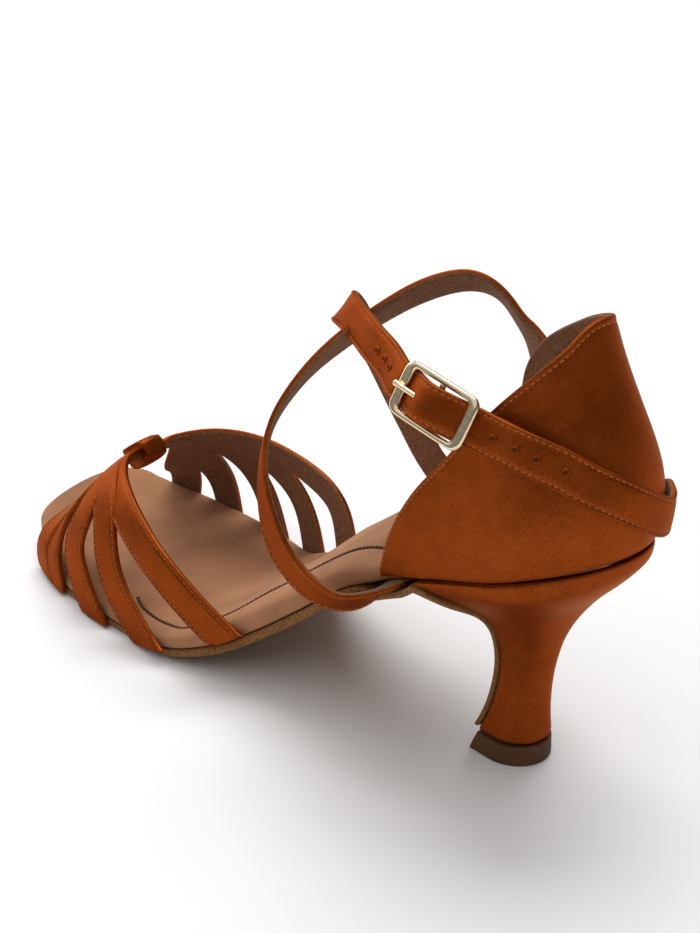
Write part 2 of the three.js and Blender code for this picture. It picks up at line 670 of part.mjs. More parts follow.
function vampLine(row) {
  const path = vampPath(row);
  const places = Array.from({ length: strapPlaces + 1 }, (_, i) => {
    const place = path.getPoint(i / strapPlaces);
    const round = Math.max(0, place.y) ** (1 / formTopShare);
    return { at: place.x, round: row.outer ? round : 1 - round };
  });
  let middles = places.map(({ at, round }) => formPoint(at, round));
  let faces = places.map(({ at, round }) => formNormal(at, round));
  for (let pass = 0; pass < strapSmoothing; pass += 1) {
    middles = evened(middles);
    faces = evened(faces);
  }
  return middles.map((middle, i) => ({ middle, face: faces[i].normalize() }));
}

function vampStrap(row, room) {
  const line = vampLine(row).filter((_, i) => i % (strapPlaces / strapSteps) === 0);
  const rings = line.map(({ middle, face }, i) => {
    const before = line[Math.max(0, i - 1)].middle;
    const after = line[Math.min(strapSteps, i + 1)].middle;
    const along = new THREE.Vector3().subVectors(after, before);
    const across = along.clone().cross(face).normalize();
    const out = across.clone().cross(along).normalize();
    const gather = THREE.MathUtils.smoothstep(i / strapSteps, gatherFromShare, 1);
    const width = vampStrapWidth * THREE.MathUtils.lerp(1, strapGatherShare, gather) + 2 * room;
    const base = middle.clone().addScaledVector(out, -room);
    return strapRing(base, across, out, width, vampStrapThickness + 2 * room);
  });
  // The foot is carried on along the strap, down past the sole's edge
  const wall = line[0].face.clone().setZ(0).normalize();
  const down = new THREE.Vector3().subVectors(line[0].middle, line[1].middle);
  down.addScaledVector(wall, -down.dot(wall)).setLength(strapFootLength);
  const foot = rings[0].map((corner) => corner.clone().add(down));
  return toManifold(tubeOfRings([foot, ...rings]));
}

// The knot's frame: its x runs along the gathered straps, its z away from the foot
function knotFrame() {
  const step = 0.02;
  const middle = formPoint(knotAtShare, knotRoundShare);
  const outer = formPoint(knotAtShare, knotRoundShare - step);
  const inner = formPoint(knotAtShare, knotRoundShare + step);
  const along = outer.sub(inner).normalize();
  const face = formNormal(knotAtShare, knotRoundShare);
  const side = new THREE.Vector3().crossVectors(face, along).normalize();
  const lifted = middle.addScaledVector(face, vampStrapThickness / 2);
  return new THREE.Matrix4().makeBasis(along, side, face).setPosition(lifted);
}

function roundedRectangle(path, width, height, corner) {
  const x = width / 2;
  const y = height / 2;
  path.moveTo(-x + corner, -y);
  path.lineTo(x - corner, -y);
  path.absarc(x - corner, -y + corner, corner, -Math.PI / 2, 0);
  path.lineTo(x, y - corner);
  path.absarc(x - corner, y - corner, corner, 0, Math.PI / 2);
  path.lineTo(-x + corner, y);
  path.absarc(-x + corner, y - corner, corner, Math.PI / 2, Math.PI);
  path.lineTo(-x, -y + corner);
  path.absarc(-x + corner, -y + corner, corner, Math.PI, 1.5 * Math.PI);
  path.closePath();
  return path;
}

function sleeveAlongX(shape, length) {
  const extruded = new THREE.ExtrudeGeometry(shape, {
    depth: length,
    bevelEnabled: false,
    curveSegments: 3,
  });
  extruded.translate(0, 0, -length / 2);
  extruded.applyMatrix4(new THREE.Matrix4().makeBasis(
    new THREE.Vector3(0, 1, 0),
    new THREE.Vector3(0, 0, 1),
    new THREE.Vector3(1, 0, 0),
  ));
  return extruded.applyMatrix4(knotFrame());
}

function strapsTogether(room) {
  const straps = vampRows.map((row) => vampStrap(row, room));
  const bundle = roundedRectangle(new THREE.Shape(), knotCoreWidth, knotCoreThickness, knotCorner);
  const core = toManifold(mergedGeometry(sleeveAlongX(bundle, knotLength + 1)));
  return straps.reduce((whole, strap) => whole.add(strap), core);
}

// Everything below the level that the straps' feet reach, as their cutter
function belowFeet() {
  const places = placesAlong(soleLength * formRows[0].at, soleLength, 26);
  const reach = 1.6 * ballHalfWidth;
  return toManifold(tubeOfRings(places.map((x) => {
    const wrap = strapWrapDepth * solePlan.inset(x / soleLength);
    const upper = [reach, outline(x, 1), outline(x, -1), -reach].map((y) => (
      new THREE.Vector3(x, y, restHeight(x, y) - wrap)
    ));
    const below = new THREE.Vector3(0, 0, -2 * strapFootLength);
    return [...upper, ...upper.map((point) => point.clone().add(below)).reverse()];
  })));
}

function vampStraps() {
  const straps = strapsTogether(0).subtract(belowFeet());
  return straps.subtract(toManifold(insole(gap))).subtract(toManifold(outsole(gap)));
}

function knot() {
  const wall = knotWall + gap;
  const width = knotCoreWidth + 2 * wall;
  const height = knotCoreThickness + 2 * wall;
  const band = roundedRectangle(new THREE.Shape(), width, height, 2 * knotCorner);
  const sleeve = toManifold(mergedGeometry(sleeveAlongX(band, knotLength)));
  const bundle = roundedRectangle(
    new THREE.Shape(),
    knotCoreWidth + 2 * gap,
    knotCoreThickness + 2 * gap,
    knotCorner,
  );
  const bore = toManifold(mergedGeometry(sleeveAlongX(bundle, knotLength * 2)));
  return sleeve.subtract(bore).subtract(strapsTogether(gap));
}

// A point from its shares of the shoe's sizes
function placeOf({ along, out, up }) {
  const height = up > 1 ? seatHeight + counterHeight * (up - 1) : seatHeight * up;
  return new THREE.Vector3(soleLength * along, ballHalfWidth * out, height);
}

// Buckle frame, prong and tab, in the buckle's own axes: x to its front bar, z away from the foot
function buckleAxes() {
  const place = buckleSeat;
  const along = new THREE.Vector3(place.towardAlong, place.towardOut, place.towardUp).normalize();
  const face = new THREE.Vector3(place.faceAlong, place.faceOut, place.faceUp);
  const side = face.cross(along).normalize();
  const out = new THREE.Vector3().crossVectors(along, side).normalize();
  return new THREE.Matrix4().makeBasis(along, side, out).setPosition(placeOf(place));
}

function buckleFrame(room) {
  const length = buckleLength + 2 * room;
  const shape = roundedRectangle(new THREE.Shape(), length, buckleWidth + 2 * room, buckleCorner);
  const innerHalf = buckleLength / 2 - buckleShortBar - room;
  const windowLength = innerHalf - centreBarRadius - room;
  const windowWidth = buckleWidth - 2 * buckleLongBar - 2 * room;
  const geometry = new THREE.ExtrudeGeometry(shape, {
    depth: buckleThickness + 2 * room - 2 * buckleBevel,
    bevelThickness: buckleBevel,
    bevelSize: buckleBevel,
    bevelOffset: -buckleBevel,
    bevelSegments: 1,
    curveSegments: 4,
  });
  geometry.translate(0, 0, -buckleThickness / 2 - room + buckleBevel);
  const cutters = [-1, 1].map((side) => {
    const opening = roundedRectangle(new THREE.Shape(), windowLength, windowWidth, buckleCorner / 4);
    const cutter = new THREE.ExtrudeGeometry(opening, {
      depth: 4 * buckleThickness,
      bevelEnabled: false,
      curveSegments: 2,
    });
    cutter.translate((side * (innerHalf + centreBarRadius + room)) / 2, 0, -2 * buckleThickness);
    return toManifold(mergedGeometry(cutter));
  });
  const plate = toManifold(mergedGeometry(geometry));
  const frame = cutters.reduce((whole, cutter) => whole.subtract(cutter), plate);
  return frame.transform(buckleAxes().elements);
}

// Prong: from the middle bar, over the strap, to the top of the front bar
function prong(room) {
  const level = buckleThickness / 2 + gap + prongRadius;
  const path = new THREE.CatmullRomCurve3([
    new THREE.Vector3(-centreBarRadius - room, 0, level),
    new THREE.Vector3(buckleLength / 4, 0, level + prongCrown),
    new THREE.Vector3(buckleLength / 2 - buckleBevel + room, 0, level),
  ]);
  const section = new THREE.Shape().absarc(0, 0, prongRadius + room, 0, 2 * Math.PI);
  const geometry = new THREE.ExtrudeGeometry(section, {
    steps: 6,
    curveSegments: 4,
    extrudePath: path,
  });
  return mergedGeometry(geometry).applyMatrix4(buckleAxes());
}

// Flat bands of four corners, through middles with their own width and facing directions
function band(stations, width, thickness) {
  const rings = stations.map(({ middle, face }, i) => {
    const before = stations[Math.max(0, i - 1)].middle;
    const after = stations[Math.min(stations.length - 1, i + 1)].middle;
    const along = new THREE.Vector3().subVectors(after, before);
    const across = along.clone().cross(face).normalize();
    const out = across.clone().cross(along).normalize();
    const corner = (side, up) => middle.clone()
      .addScaledVector(across, (side * width) / 2)
      .addScaledVector(out, (up * thickness) / 2);
    return [corner(1, -1), corner(1, 1), corner(-1, 1), corner(-1, -1)];
  });
  return tubeOfRings(rings);
}

// Smooth stations through a list of middles and facings
function smoothStations(list, between) {
  const middles = new THREE.CatmullRomCurve3(list.map((row) => row.middle), false, 'centripetal');
  const faces = new THREE.CatmullRomCurve3(list.map((row) => row.face), false, 'centripetal');
  const count = (list.length - 1) * between;
  return Array.from({ length: count + 1 }, (_, i) => ({
    middle: middles.getPoint(i / count),
    face: faces.getPoint(i / count).normalize(),
  }));
}

function freeStation(row) {
  return {
    middle: placeOf(row),
    face: new THREE.Vector3(row.faceAlong, row.faceOut, row.faceUp).normalize(),
  };
}

function counterStation(row, thickness) {
  const height = row.up * counterHeight;
  const middle = counterOutside(row.around, height, row.off * thickness);
  return { middle, face: counterNormal(row.around, height) };
}

function tunnelStation(share) {
  const y = THREE.MathUtils.lerp(outline(tunnelAt, -1), outline(tunnelAt, 1), (share + 1) / 2);
  const slope = (restHeight(tunnelAt + 1, y) - restHeight(tunnelAt - 1, y)) / 2;
  const face = new THREE.Vector3(slope, 0, -1).normalize();
  const middle = new THREE.Vector3(tunnelAt, y, restHeight(tunnelAt, y));
  return { middle: middle.addScaledVector(face, 1.5 * gap + ankleStrapThickness / 2), face };
}

const tabTurn = Math.hypot(centreBarRadius, buckleThickness / 2) + gap + tabThickness / 2;

// Through the buckle: under its front bar, over the middle bar and the tab, under its back bar
function buckleStation(row) {
  const axes = buckleAxes();
  const under = -(buckleThickness + ankleStrapThickness) / 2 - gap;
  const over = tabTurn + (tabThickness + ankleStrapThickness) / 2 + gap;
  const level = row.over ? over : under;
  const middle = new THREE.Vector3((row.toward * buckleLength) / 2, 0, level).applyMatrix4(axes);
  const face = new THREE.Vector3(0, 0, 1).transformDirection(axes);
  return { middle, face };
}

function ankleStrapStations() {
  return smoothStations([
    ...strapSewnEnd.map((row) => counterStation(row, ankleStrapThickness)),
    ...strapOverInstep.map(freeStation),
    ...tunnelShares.map(tunnelStation),
    ...strapToBuckle.map(freeStation),
    ...strapThroughBuckle.map(buckleStation),
    ...strapFreeEnd.map((row) => counterStation(row, ankleStrapThickness)),
  ], 3);
}

function ankleStrapBand(room) {
  const width = ankleStrapWidth + 2 * room;
  return toManifold(band(ankleStrapStations(), width, ankleStrapThickness + 2 * room));
}

function ankleStrap() {
  return ankleStrapBand(0).subtract(toManifold(prong(gap))).subtract(buckleFrame(gap));
}

// Tab: sewn to the outer quarter under the strap's free end, round the buckle's middle bar
function buckleTab() {
  const axes = buckleAxes();
  const stations = tabRows.map((row) => ({
    middle: new THREE.Vector3(row.toward * tabTurn, 0, row.out * tabTurn).applyMatrix4(axes),
    face: new THREE.Vector3(row.faceToward, 0, row.faceOut).transformDirection(axes),
  }));
  const sewn = tabSewnEnd.map((row) => counterStation(row, tabThickness));
  const whole = smoothStations([...sewn, ...stations], 3);
  const tab = toManifold(band(whole, tabWidth, tabThickness));
  const aroundBar = tab.subtract(toManifold(prong(gap))).subtract(buckleFrame(gap));
  return aroundBar.subtract(ankleStrapBand(gap));
}

// One named mesh for each piece
function piece(name, geometry, color, roughness, metalness = 0) {
  geometry.computeVertexNormals();
  const mesh = new THREE.Mesh(geometry, new THREE.MeshStandardMaterial({ color, roughness, metalness }));
  mesh.name = name;
  return mesh;
}

const satin = '#a0522d';
const suede = '#a57a5c';
const gold = '#d9bd86';
const outsoleSolid = toManifold(outsole(0)).subtract(ankleStrapBand(gap));
const insoleSolid = toManifold(insole(0)).subtract(ankleStrapBand(gap));
const shoe = new THREE.Group();
shoe.add(
  piece('outsole', toGeometry(outsoleSolid), '#966432', 0.95),
  piece('insole', toGeometry(insoleSolid), suede, 0.95),
  piece('heel', toGeometry(toManifold(heel())), satin, 0.55),
  piece('top_piece', toGeometry(toManifold(topPiece())), '#5f4128', 0.85),
  piece('heel_counter', toGeometry(heelCounterTrimmed()), satin, 0.5),
  piece('vamp_straps', toGeometry(vampStraps()), '#c0602f', 0.5),
  piece('knot', toGeometry(knot()), '#b0562a', 0.5),
  piece('ankle_strap', toGeometry(ankleStrap()), '#b85c2d', 0.5),
  piece('buckle_frame', toGeometry(buckleFrame(0)), gold, 0.2, 1),
  piece('buckle_prong', toGeometry(toManifold(prong(0))), gold, 0.2, 1),
  piece('buckle_tab', toGeometry(buckleTab()), satin, 0.5),
);

const box = new THREE.Box3().setFromObject(shoe);
const centre = box.getCenter(new THREE.Vector3());
shoe.position.set(-centre.x, -centre.y, -box.min.z);
shoe.updateMatrixWorld(true);

export default shoe;
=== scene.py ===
"""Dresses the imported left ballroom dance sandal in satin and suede, with stitching and a gold buckle."""

import math
import random

import bpy
from mathutils import Matrix, Vector


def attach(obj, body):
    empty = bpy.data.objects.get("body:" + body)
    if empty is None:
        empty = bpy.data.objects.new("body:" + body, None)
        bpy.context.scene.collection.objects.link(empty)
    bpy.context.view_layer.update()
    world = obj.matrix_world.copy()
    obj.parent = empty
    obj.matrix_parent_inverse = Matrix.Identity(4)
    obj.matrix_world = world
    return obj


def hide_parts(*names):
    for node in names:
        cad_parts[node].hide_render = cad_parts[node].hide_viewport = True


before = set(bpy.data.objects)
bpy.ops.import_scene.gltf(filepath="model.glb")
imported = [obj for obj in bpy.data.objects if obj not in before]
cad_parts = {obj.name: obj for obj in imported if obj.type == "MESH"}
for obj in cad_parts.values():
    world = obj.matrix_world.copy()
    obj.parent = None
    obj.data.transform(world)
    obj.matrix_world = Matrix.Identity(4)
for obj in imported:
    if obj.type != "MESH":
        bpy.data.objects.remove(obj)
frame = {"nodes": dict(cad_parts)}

bl_info = {
    "name": "Ballroom Dance Sandal",
    "version": (1, 0, 0),
    "blender": (4, 5, 0),
    "location": "View3D > Sidebar > Sandal",
    "description": "Builds the looks of a left satin dance sandal over its packed model",
    "category": "Add Mesh",
}

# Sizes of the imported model, in metres. X=0 is the back of the heel seat until a piece is put in the frame.
MM = 0.001
TO_FRAME = Vector((-0.109181, -0.001128, 0.000002))
SOLE_LENGTH = 0.223
BALL_HALF_WIDTH = 0.0366
SEAT_HALF_WIDTH = 0.0246
SEAT_ROUND = 0.028
SEAT_HEIGHT = 0.069
GAP = 0.0003
FOOTBED_SEAT = 0.0035
FOOTBED_WAIST = 0.0085
FOOTBED_BALL = 0.0028
FOOTBED_EDGE_SHARE = 0.45
OUTSOLE_BALL = 0.002
OUTSOLE_WAIST = 0.0036
WAIST_RISE = 0.009
FLAP = 0.0015
HEEL_LENGTH = 0.050
TIP_LENGTH = 0.0184
TIP_HALF_WIDTH = 0.0091
TIP_THICKNESS = 0.0056
TIP_BACK = 0.0264
COUNTER_WALL = 0.0018
QUARTER_LENGTH = 0.061
COUNTER_HEIGHT = 0.056
TOE_STRAP_WIDTH = 0.0106
TOE_STRAP_THICKNESS = 0.0017
FORM_HEIGHT = 0.0335
FORM_SIDE_SHARE = 0.78
FORM_TOP_SHARE = 0.725
GATHER_SHARE = 0.56
WRAP_DEPTH = 0.0016
KNOT_LENGTH = 0.0085
KNOT_WALL = 0.0016
KNOT_CORE_WIDTH = 0.007
KNOT_CORE_THICKNESS = 0.0034
ANKLE_STRAP_WIDTH = 0.010
ANKLE_STRAP_THICKNESS = 0.0018
TUNNEL_AT = 0.0595
TUNNEL_RAMP = 0.005
BUCKLE_LENGTH = 0.0237
BUCKLE_WIDTH = 0.014
BUCKLE_THICKNESS = 0.0018
BUCKLE_LONG_BAR = 0.00165
BUCKLE_SHORT_BAR = 0.003
CENTRE_BAR_RADIUS = 0.0008
PRONG_RADIUS = 0.0007
TAB_WIDTH = 0.008
TAB_THICKNESS = 0.001
TOE_START = 0.96
KNOT_AT = 0.806
KNOT_ROUND = 0.483
KNOT_ENTRY = 0.1
KNOT_ENTRY_AT = 0.96
KNOT_WAVE = 0.18 * MM
KNOT_FOLD = 0.55 * MM
PLEAT_DEPTH = 0.22 * MM
BUCKLE_CORNER = 3 * MM

# The heel's breast as a share of the heel's width, and how far the heel runs straight behind it
BREAST_WIDTH = 0.93
HEEL_STRAIGHT = 0.45
# How much each toe strap lies above the one before it, in millimetres, and how far above a strap's middle
# its stitches lie, as a share of its thickness
STRAP_LIFT = 0.3
STITCH_RISE = 0.36
# Where the sock's seam is sewn, as shares of the sole's length, and the size of its stitches against their
# pitch and the upper's thread
SOCK_FROM = 0.27
SOCK_TO = 0.722
SOCK_STITCH_LENGTH = 1.3
SOCK_STITCH_THREAD = 3.4

# How finely the pieces are drawn, and how often their middle lines are evened out
FOOTBED_RINGS = 110
OUTSOLE_RINGS = 56
COUNTER_RINGS = 120
COUNTER_ROWS = 14
STRAP_STEPS = 48
STRAP_EVENING = 40
KNOT_AROUND = 64
KNOT_EVENING = 8
PRONG_RINGS = 24
PRONG_AROUND = 14
SOCK_STEPS = 160

FLOOR_SIZE = 8
WORLD_STRENGTH = 0.2

# The camera, worked out from the photograph: its lens, and where it stands and looks
CAMERA_TARGET = Vector((0.1039, -0.0069, 0.055)) + TO_FRAME
CAMERA_DISTANCE = 0.610383
CAMERA_AZIMUTH = math.radians(46.553)
CAMERA_ELEVATION = math.radians(25.577)
CAMERA_ROLL = math.radians(-0.699)
CAMERA_LENS = 87.606


def columns(names, rows):
    """A table's rows as one list for each named column."""
    return dict(zip(names.split(), map(list, zip(*rows))))


# The sole from heel to toe: half widths as shares of the ball's, height as a share of the seat's
SOLE = columns(
    "at outer inner rest rise waist inset",
    [
        (0.126, 0.672, -0.672, 0.870, 0.00, 0.00, 0.0),
        (0.200, 0.668, -0.665, 0.793, 0.00, 0.05, 0.0),
        (0.270, 0.645, -0.650, 0.697, 0.28, 0.35, 0.0),
        (0.336, 0.640, -0.620, 0.590, 0.67, 0.80, 0.0),
        (0.404, 0.670, -0.600, 0.420, 0.97, 1.00, 0.0),
        (0.471, 0.765, -0.620, 0.258, 1.00, 0.95, 0.0),
        (0.538, 0.895, -0.690, 0.126, 0.75, 0.60, 0.0),
        (0.605, 0.985, -0.790, 0.052, 0.33, 0.20, 0.1),
        (0.664, 1.010, -0.890, 0.0333, 0.00, 0.00, 1.0),
        (0.735, 1.000, -0.960, 0.0333, 0.00, 0.00, 1.0),
        (0.800, 0.950, -0.985, 0.0333, 0.00, 0.00, 1.0),
        (0.865, 0.860, -0.960, 0.042, 0.00, 0.00, 1.0),
        (0.920, 0.710, -0.880, 0.060, 0.00, 0.00, 0.9),
        (0.960, 0.480, -0.770, 0.084, 0.00, 0.00, 0.2),
        (0.986, 0.160, -0.650, 0.105, 0.00, 0.00, 0.0),
        (1.000, -0.380, -0.380, 0.120, 0.00, 0.00, 0.0),
    ],
)

# The heel from the tip to the seat: heights of front and back between the two, their places, and half width
HEEL = columns(
    "front_up back_up front back half",
    [
        (0.000, 0.000, 0.848, 0.531, 0.352),
        (0.092, 0.092, 0.792, 0.538, 0.310),
        (0.218, 0.224, 0.750, 0.526, 0.268),
        (0.338, 0.355, 0.724, 0.500, 0.276),
        (0.448, 0.486, 0.720, 0.449, 0.320),
        (0.541, 0.606, 0.728, 0.367, 0.430),
        (0.612, 0.721, 0.752, 0.255, 0.610),
        (0.666, 0.831, 0.785, 0.117, 0.810),
        (0.701, 0.918, 0.845, 0.029, 0.950),
    ],
)
# The outsole's flap down the heel's front, in shares of the same height
FLAP_ROWS = (0.694, 0.661, 0.623, 0.574, 0.508, 0.431, 0.344, 0.245, 0.147, 0.071, 0.007)

# The counter's lean and width from the seat up, and its top line along each side, as shares of its height
COUNTER = columns(
    "up lean wide",
    [
        (0.00, 0.000, 1.000),
        (0.09, -0.028, 1.030),
        (0.19, -0.040, 1.035),
        (0.33, -0.026, 1.000),
        (0.45, 0.012, 0.950),
        (0.56, 0.060, 0.890),
        (0.67, 0.110, 0.830),
        (0.78, 0.158, 0.775),
        (0.89, 0.200, 0.730),
        (1.00, 0.236, 0.700),
    ],
)
TOP_LINE = columns(
    "at outer inner",
    [
        (0.000, 1.000, 1.000),
        (0.060, 0.935, 0.990),
        (0.170, 0.868, 0.984),
        (0.330, 0.786, 0.977),
        (0.460, 0.712, 0.960),
        (0.570, 0.640, 0.936),
        (0.680, 0.550, 0.895),
        (0.800, 0.455, 0.800),
        (0.885, 0.350, 0.620),
        (0.943, 0.235, 0.440),
        (0.975, 0.140, 0.300),
        (1.000, 0.050, 0.070),
    ],
)

# The toe straps: side, place of the foot, and place and share of the way round the foot's form of a low and
# of a high point
TOE_STRAPS = [
    (1, 0.879, 0.898, 0.093, 0.877, 0.235),
    (1, 0.845, 0.854, 0.080, 0.849, 0.261),
    (1, 0.748, 0.802, 0.099, 0.787, 0.221),
    (1, 0.633, 0.706, 0.055, 0.743, 0.224),
    (1, 0.505, 0.600, 0.115, 0.645, 0.150),
    (-1, 0.918, 0.905, 0.840, 0.868, 0.670),
    (-1, 0.842, 0.847, 0.885, 0.840, 0.676),
    (-1, 0.743, 0.768, 0.905, 0.807, 0.741),
    (-1, 0.652, 0.673, 0.915, 0.751, 0.806),
    (-1, 0.575, 0.590, 0.898, 0.693, 0.800),
]
# Height of the foot's form along the sole, as a share of FORM_HEIGHT
FOOT_FORM = columns(
    "at up",
    [
        (0.45, 1.54),
        (0.55, 1.43),
        (0.65, 1.50),
        (0.75, 1.24),
        (0.82, 0.95),
        (0.88, 0.49),
        (0.94, 0.30),
        (1.00, 0.20),
    ],
)

# The ankle strap's middle line: along as a share of the sole's length, out of the ball's half width, and up
# from 0 at the floor to 1 at the seat and 2 at the counter's top, with the way that the satin faces
OVER_INSTEP = [
    (0.235, -0.585, 1.616, (-0.20, -0.91, 0.36)),
    (0.252, -0.568, 1.680, (-0.30, -0.80, 0.50)),
    (0.272, -0.541, 1.768, (-0.22, -0.76, 0.61)),
    (0.291, -0.470, 1.823, (0.15, -0.70, 0.70)),
    (0.311, -0.383, 1.836, (0.50, -0.55, 0.66)),
    (0.340, -0.197, 1.793, (0.68, -0.38, 0.62)),
    (0.368, 0.016, 1.702, (0.79, -0.15, 0.60)),
    (0.399, 0.249, 1.568, (0.81, -0.04, 0.59)),
    (0.420, 0.464, 1.434, (0.80, 0.19, 0.57)),
    (0.439, 0.639, 1.255, (0.77, 0.41, 0.48)),
    (0.443, 0.730, 1.132, (0.72, 0.64, 0.27)),
    (0.441, 0.787, 0.997, (0.60, 0.80, 0.10)),
    (0.433, 0.825, 0.897, (0.43, 0.90, 0.00)),
    (0.417, 0.858, 0.787, (0.23, 0.97, -0.02)),
    (0.396, 0.872, 0.700, (0.09, 0.99, -0.11)),
    (0.368, 0.855, 0.629, (-0.02, 0.98, -0.21)),
    (0.336, 0.828, 0.597, (-0.15, 0.90, -0.42)),
    (0.305, 0.770, 0.597, (-0.34, 0.62, -0.71)),
]
TO_BUCKLE = [
    (0.287, -0.751, 0.699, (-0.36, -0.50, -0.80)),
    (0.323, -0.833, 0.670, (-0.20, -0.85, -0.50)),
    (0.361, -0.820, 0.674, (0.05, -0.97, -0.22)),
    (0.395, -0.754, 0.725, (0.14, -0.99, 0.00)),
    (0.413, -0.680, 0.819, (0.16, -0.97, 0.14)),
    (0.422, -0.601, 0.930, (0.19, -0.94, 0.27)),
    (0.428, -0.481, 1.088, (0.21, -0.90, 0.38)),
    (0.428, -0.279, 1.339, (0.20, -0.86, 0.46)),
    (0.427, -0.090, 1.534, (0.22, -0.80, 0.56)),
    (0.422, 0.079, 1.666, (0.74, 0.17, 0.65)),
    (0.405, 0.172, 1.693, (0.48, 0.78, 0.40)),
    (0.371, 0.270, 1.686, (0.40, 0.87, 0.30)),
    (0.325, 0.404, 1.673, (0.35, 0.87, 0.34)),
    (0.281, 0.508, 1.652, (0.24, 0.89, 0.38)),
]
TUNNEL_SHARES = (0.94, 0.5, 0, -0.5, -0.94)
# On the counter: place round it, height as a share of its own, and distance off it
SEWN_END = [(-0.60, 0.640, 1.4 * MM), (-0.65, 0.760, 1.5 * MM)]
FREE_END = [
    (0.380, 0.632, 3.3 * MM),
    (0.312, 0.568, 3.1 * MM),
    (0.240, 0.496, 2.1 * MM),
    (0.172, 0.411, 1.45 * MM),
    (0.096, 0.332, 1.45 * MM),
    (0.016, 0.246, 1.45 * MM),
    (-0.104, 0.150, 1.45 * MM),
    (-0.200, 0.145, 1.45 * MM),
    (-0.300, 0.185, 1.45 * MM),
]
TAB_SEWN_END = [(0.300, 0.556, 1.35 * MM), (0.370, 0.622, 1.5 * MM)]
# The tab round the buckle's middle bar, in turns of its own: toward the front bar, out, and its facing
TAB_TURNS = [
    (-5, -1.95, 0, -1),
    (-1.5, -1, 0, -1),
    (0, -1, 0, -1),
    (1, 0, 1, 0),
    (0, 1, 0, 1),
    (-1.5, 0.75, -0.2, 1),
]
# The strap in the buckle: place toward the front bar, and whether it lies over the middle bar
IN_BUCKLE = [(1.12, False), (0.84, False), (0, True), (-0.84, False)]
BUCKLE_PLACE = (0.182, 0.710, 1.612)
BUCKLE_TOWARD = Vector((0.982, 0, 0.187))
BUCKLE_FACE = Vector((-0.081, 0.902, 0.425))
# Distances of the punched holes from the buckle's middle, along the strap
HOLES = (-30.5, -25.8, -21.0, 18.6, 24.8, 30.0, 37.0)

# The knot from its pinched end to its open one: place along it, and size
KNOT_PROFILE = [(-0.44, 0.52), (-0.5, 0.62), (-0.5, 0.72), (-0.42, 0.82), (-0.25, 0.94), (-0.05, 1.02)]
KNOT_PROFILE += [(0.15, 1.06), (0.26, 1.07), (0.36, 1.07), (0.43, 1.06), (0.48, 1.04), (0.5, 0.98)]
KNOT_PROFILE += [(0.49, 0.9), (0.44, 0.78)]
# The heel tip from the floor up: height as a share of its own, and millimetres in from its outline
TIP_PROFILE = [(0, 1.0), (0, 0.45), (0.03, 0.1), (0.08, 0), (0.5, 0)]
TIP_PROFILE += [(0.92, 0), (0.98, 0.1), (1, 0.4), (1, 1.0)]

# Place along the sole, and the sock's seam in from the edge in millimetres
SOCK_SEAM = columns(
    "at inset",
    [
        (0.20, 8.5),
        (0.33, 8.5),
        (0.40, 10.0),
        (0.47, 9.0),
        (0.53, 6.5),
        (0.58, 5.0),
        (0.63, 7.0),
        (0.69, 9.0),
        (0.73, 13.0),
    ],
)


def smooth(places, values):
    """A smooth curve through a table's column, without overshoot between its rows."""
    steps = [b - a for a, b in zip(places, places[1:])]
    slopes = [(b - a) / step for a, b, step in zip(values, values[1:], steps)]
    tangents = [slopes[0]]
    for i in range(1, len(slopes)):
        before, after = slopes[i - 1], slopes[i]
        if before * after <= 0:
            tangents.append(0.0)
            continue
        early = 2 * steps[i] + steps[i - 1]
        late = steps[i] + 2 * steps[i - 1]
        tangents.append((early + late) / (early / before + late / after))
    tangents.append(slopes[-1])

    def curve(place):
        place = min(max(place, places[0]), places[-1])
        i = 0
        while i < len(steps) - 1 and place > places[i + 1]:
            i += 1
        t = (place - places[i]) / steps[i]
        rise = (1 - t) ** 2 * (1 + 2 * t) * values[i] + t * t * (3 - 2 * t) * values[i + 1]
        return rise + steps[i] * (t * (1 - t) ** 2 * tangents[i] - t * t * (1 - t) * tangents[i + 1])

    return curve


def eased(value, start, end):
    """From 0 at start to 1 at end, with soft ends."""
    t = min(max((value - start) / (end - start), 0), 1)
    return t * t * (3 - 2 * t)


def mixed(a, b, share):
    """The value at a share of the way from a to b."""
    return a + (b - a) * share


def through(points, share):
    """The point at a share of the way along a smooth curve through points."""
    place = (len(points) - 1) * share
    i = min(int(place), len(points) - 2)
    t = place - i
    p1, p2 = points[i], points[i + 1]
    p0 = points[i - 1] if i > 0 else p1 + (p1 - p2)
    p3 = points[i + 2] if i + 2 < len(points) else p2 + (p2 - p1)
    d0, d1, d2 = (max((b - a).length, 1e-9) ** 0.5 for a, b in ((p0, p1), (p1, p2), (p2, p3)))
    t1 = ((p1 - p0) / d0 - (p2 - p0) / (d0 + d1) + (p2 - p1) / d1) * d1
    t2 = ((p2 - p1) / d1 - (p3 - p1) / (d1 + d2) + (p3 - p2) / d2) * d1
    return p1 + t1 * t + (3 * (p2 - p1) - 2 * t1 - t2) * t**2 + (2 * (p1 - p2) + t1 + t2) * t**3


sole_outer = smooth(SOLE["at"], SOLE["outer"])
sole_inner = smooth(SOLE["at"], SOLE["inner"])
sole_rest = smooth([0, 0.054] + SOLE["at"], [1, 0.947] + SOLE["rest"])
sole_rise = smooth(SOLE["at"], SOLE["rise"])
sole_waist = smooth(SOLE["at"], SOLE["waist"])
sole_inset = smooth(SOLE["at"], SOLE["inset"])
heel_front = smooth(HEEL["front_up"], HEEL["front"])
heel_half = smooth(HEEL["front_up"], HEEL["half"])
counter_lean = smooth(COUNTER["up"], COUNTER["lean"])
counter_wide = smooth(COUNTER["up"], COUNTER["wide"])
top_outer = smooth(TOP_LINE["at"], TOP_LINE["outer"])
top_inner = smooth(TOP_LINE["at"], TOP_LINE["inner"])
form_up = smooth(FOOT_FORM["at"], FOOT_FORM["up"])
sock_seam = smooth(SOCK_SEAM["at"], SOCK_SEAM["inset"])


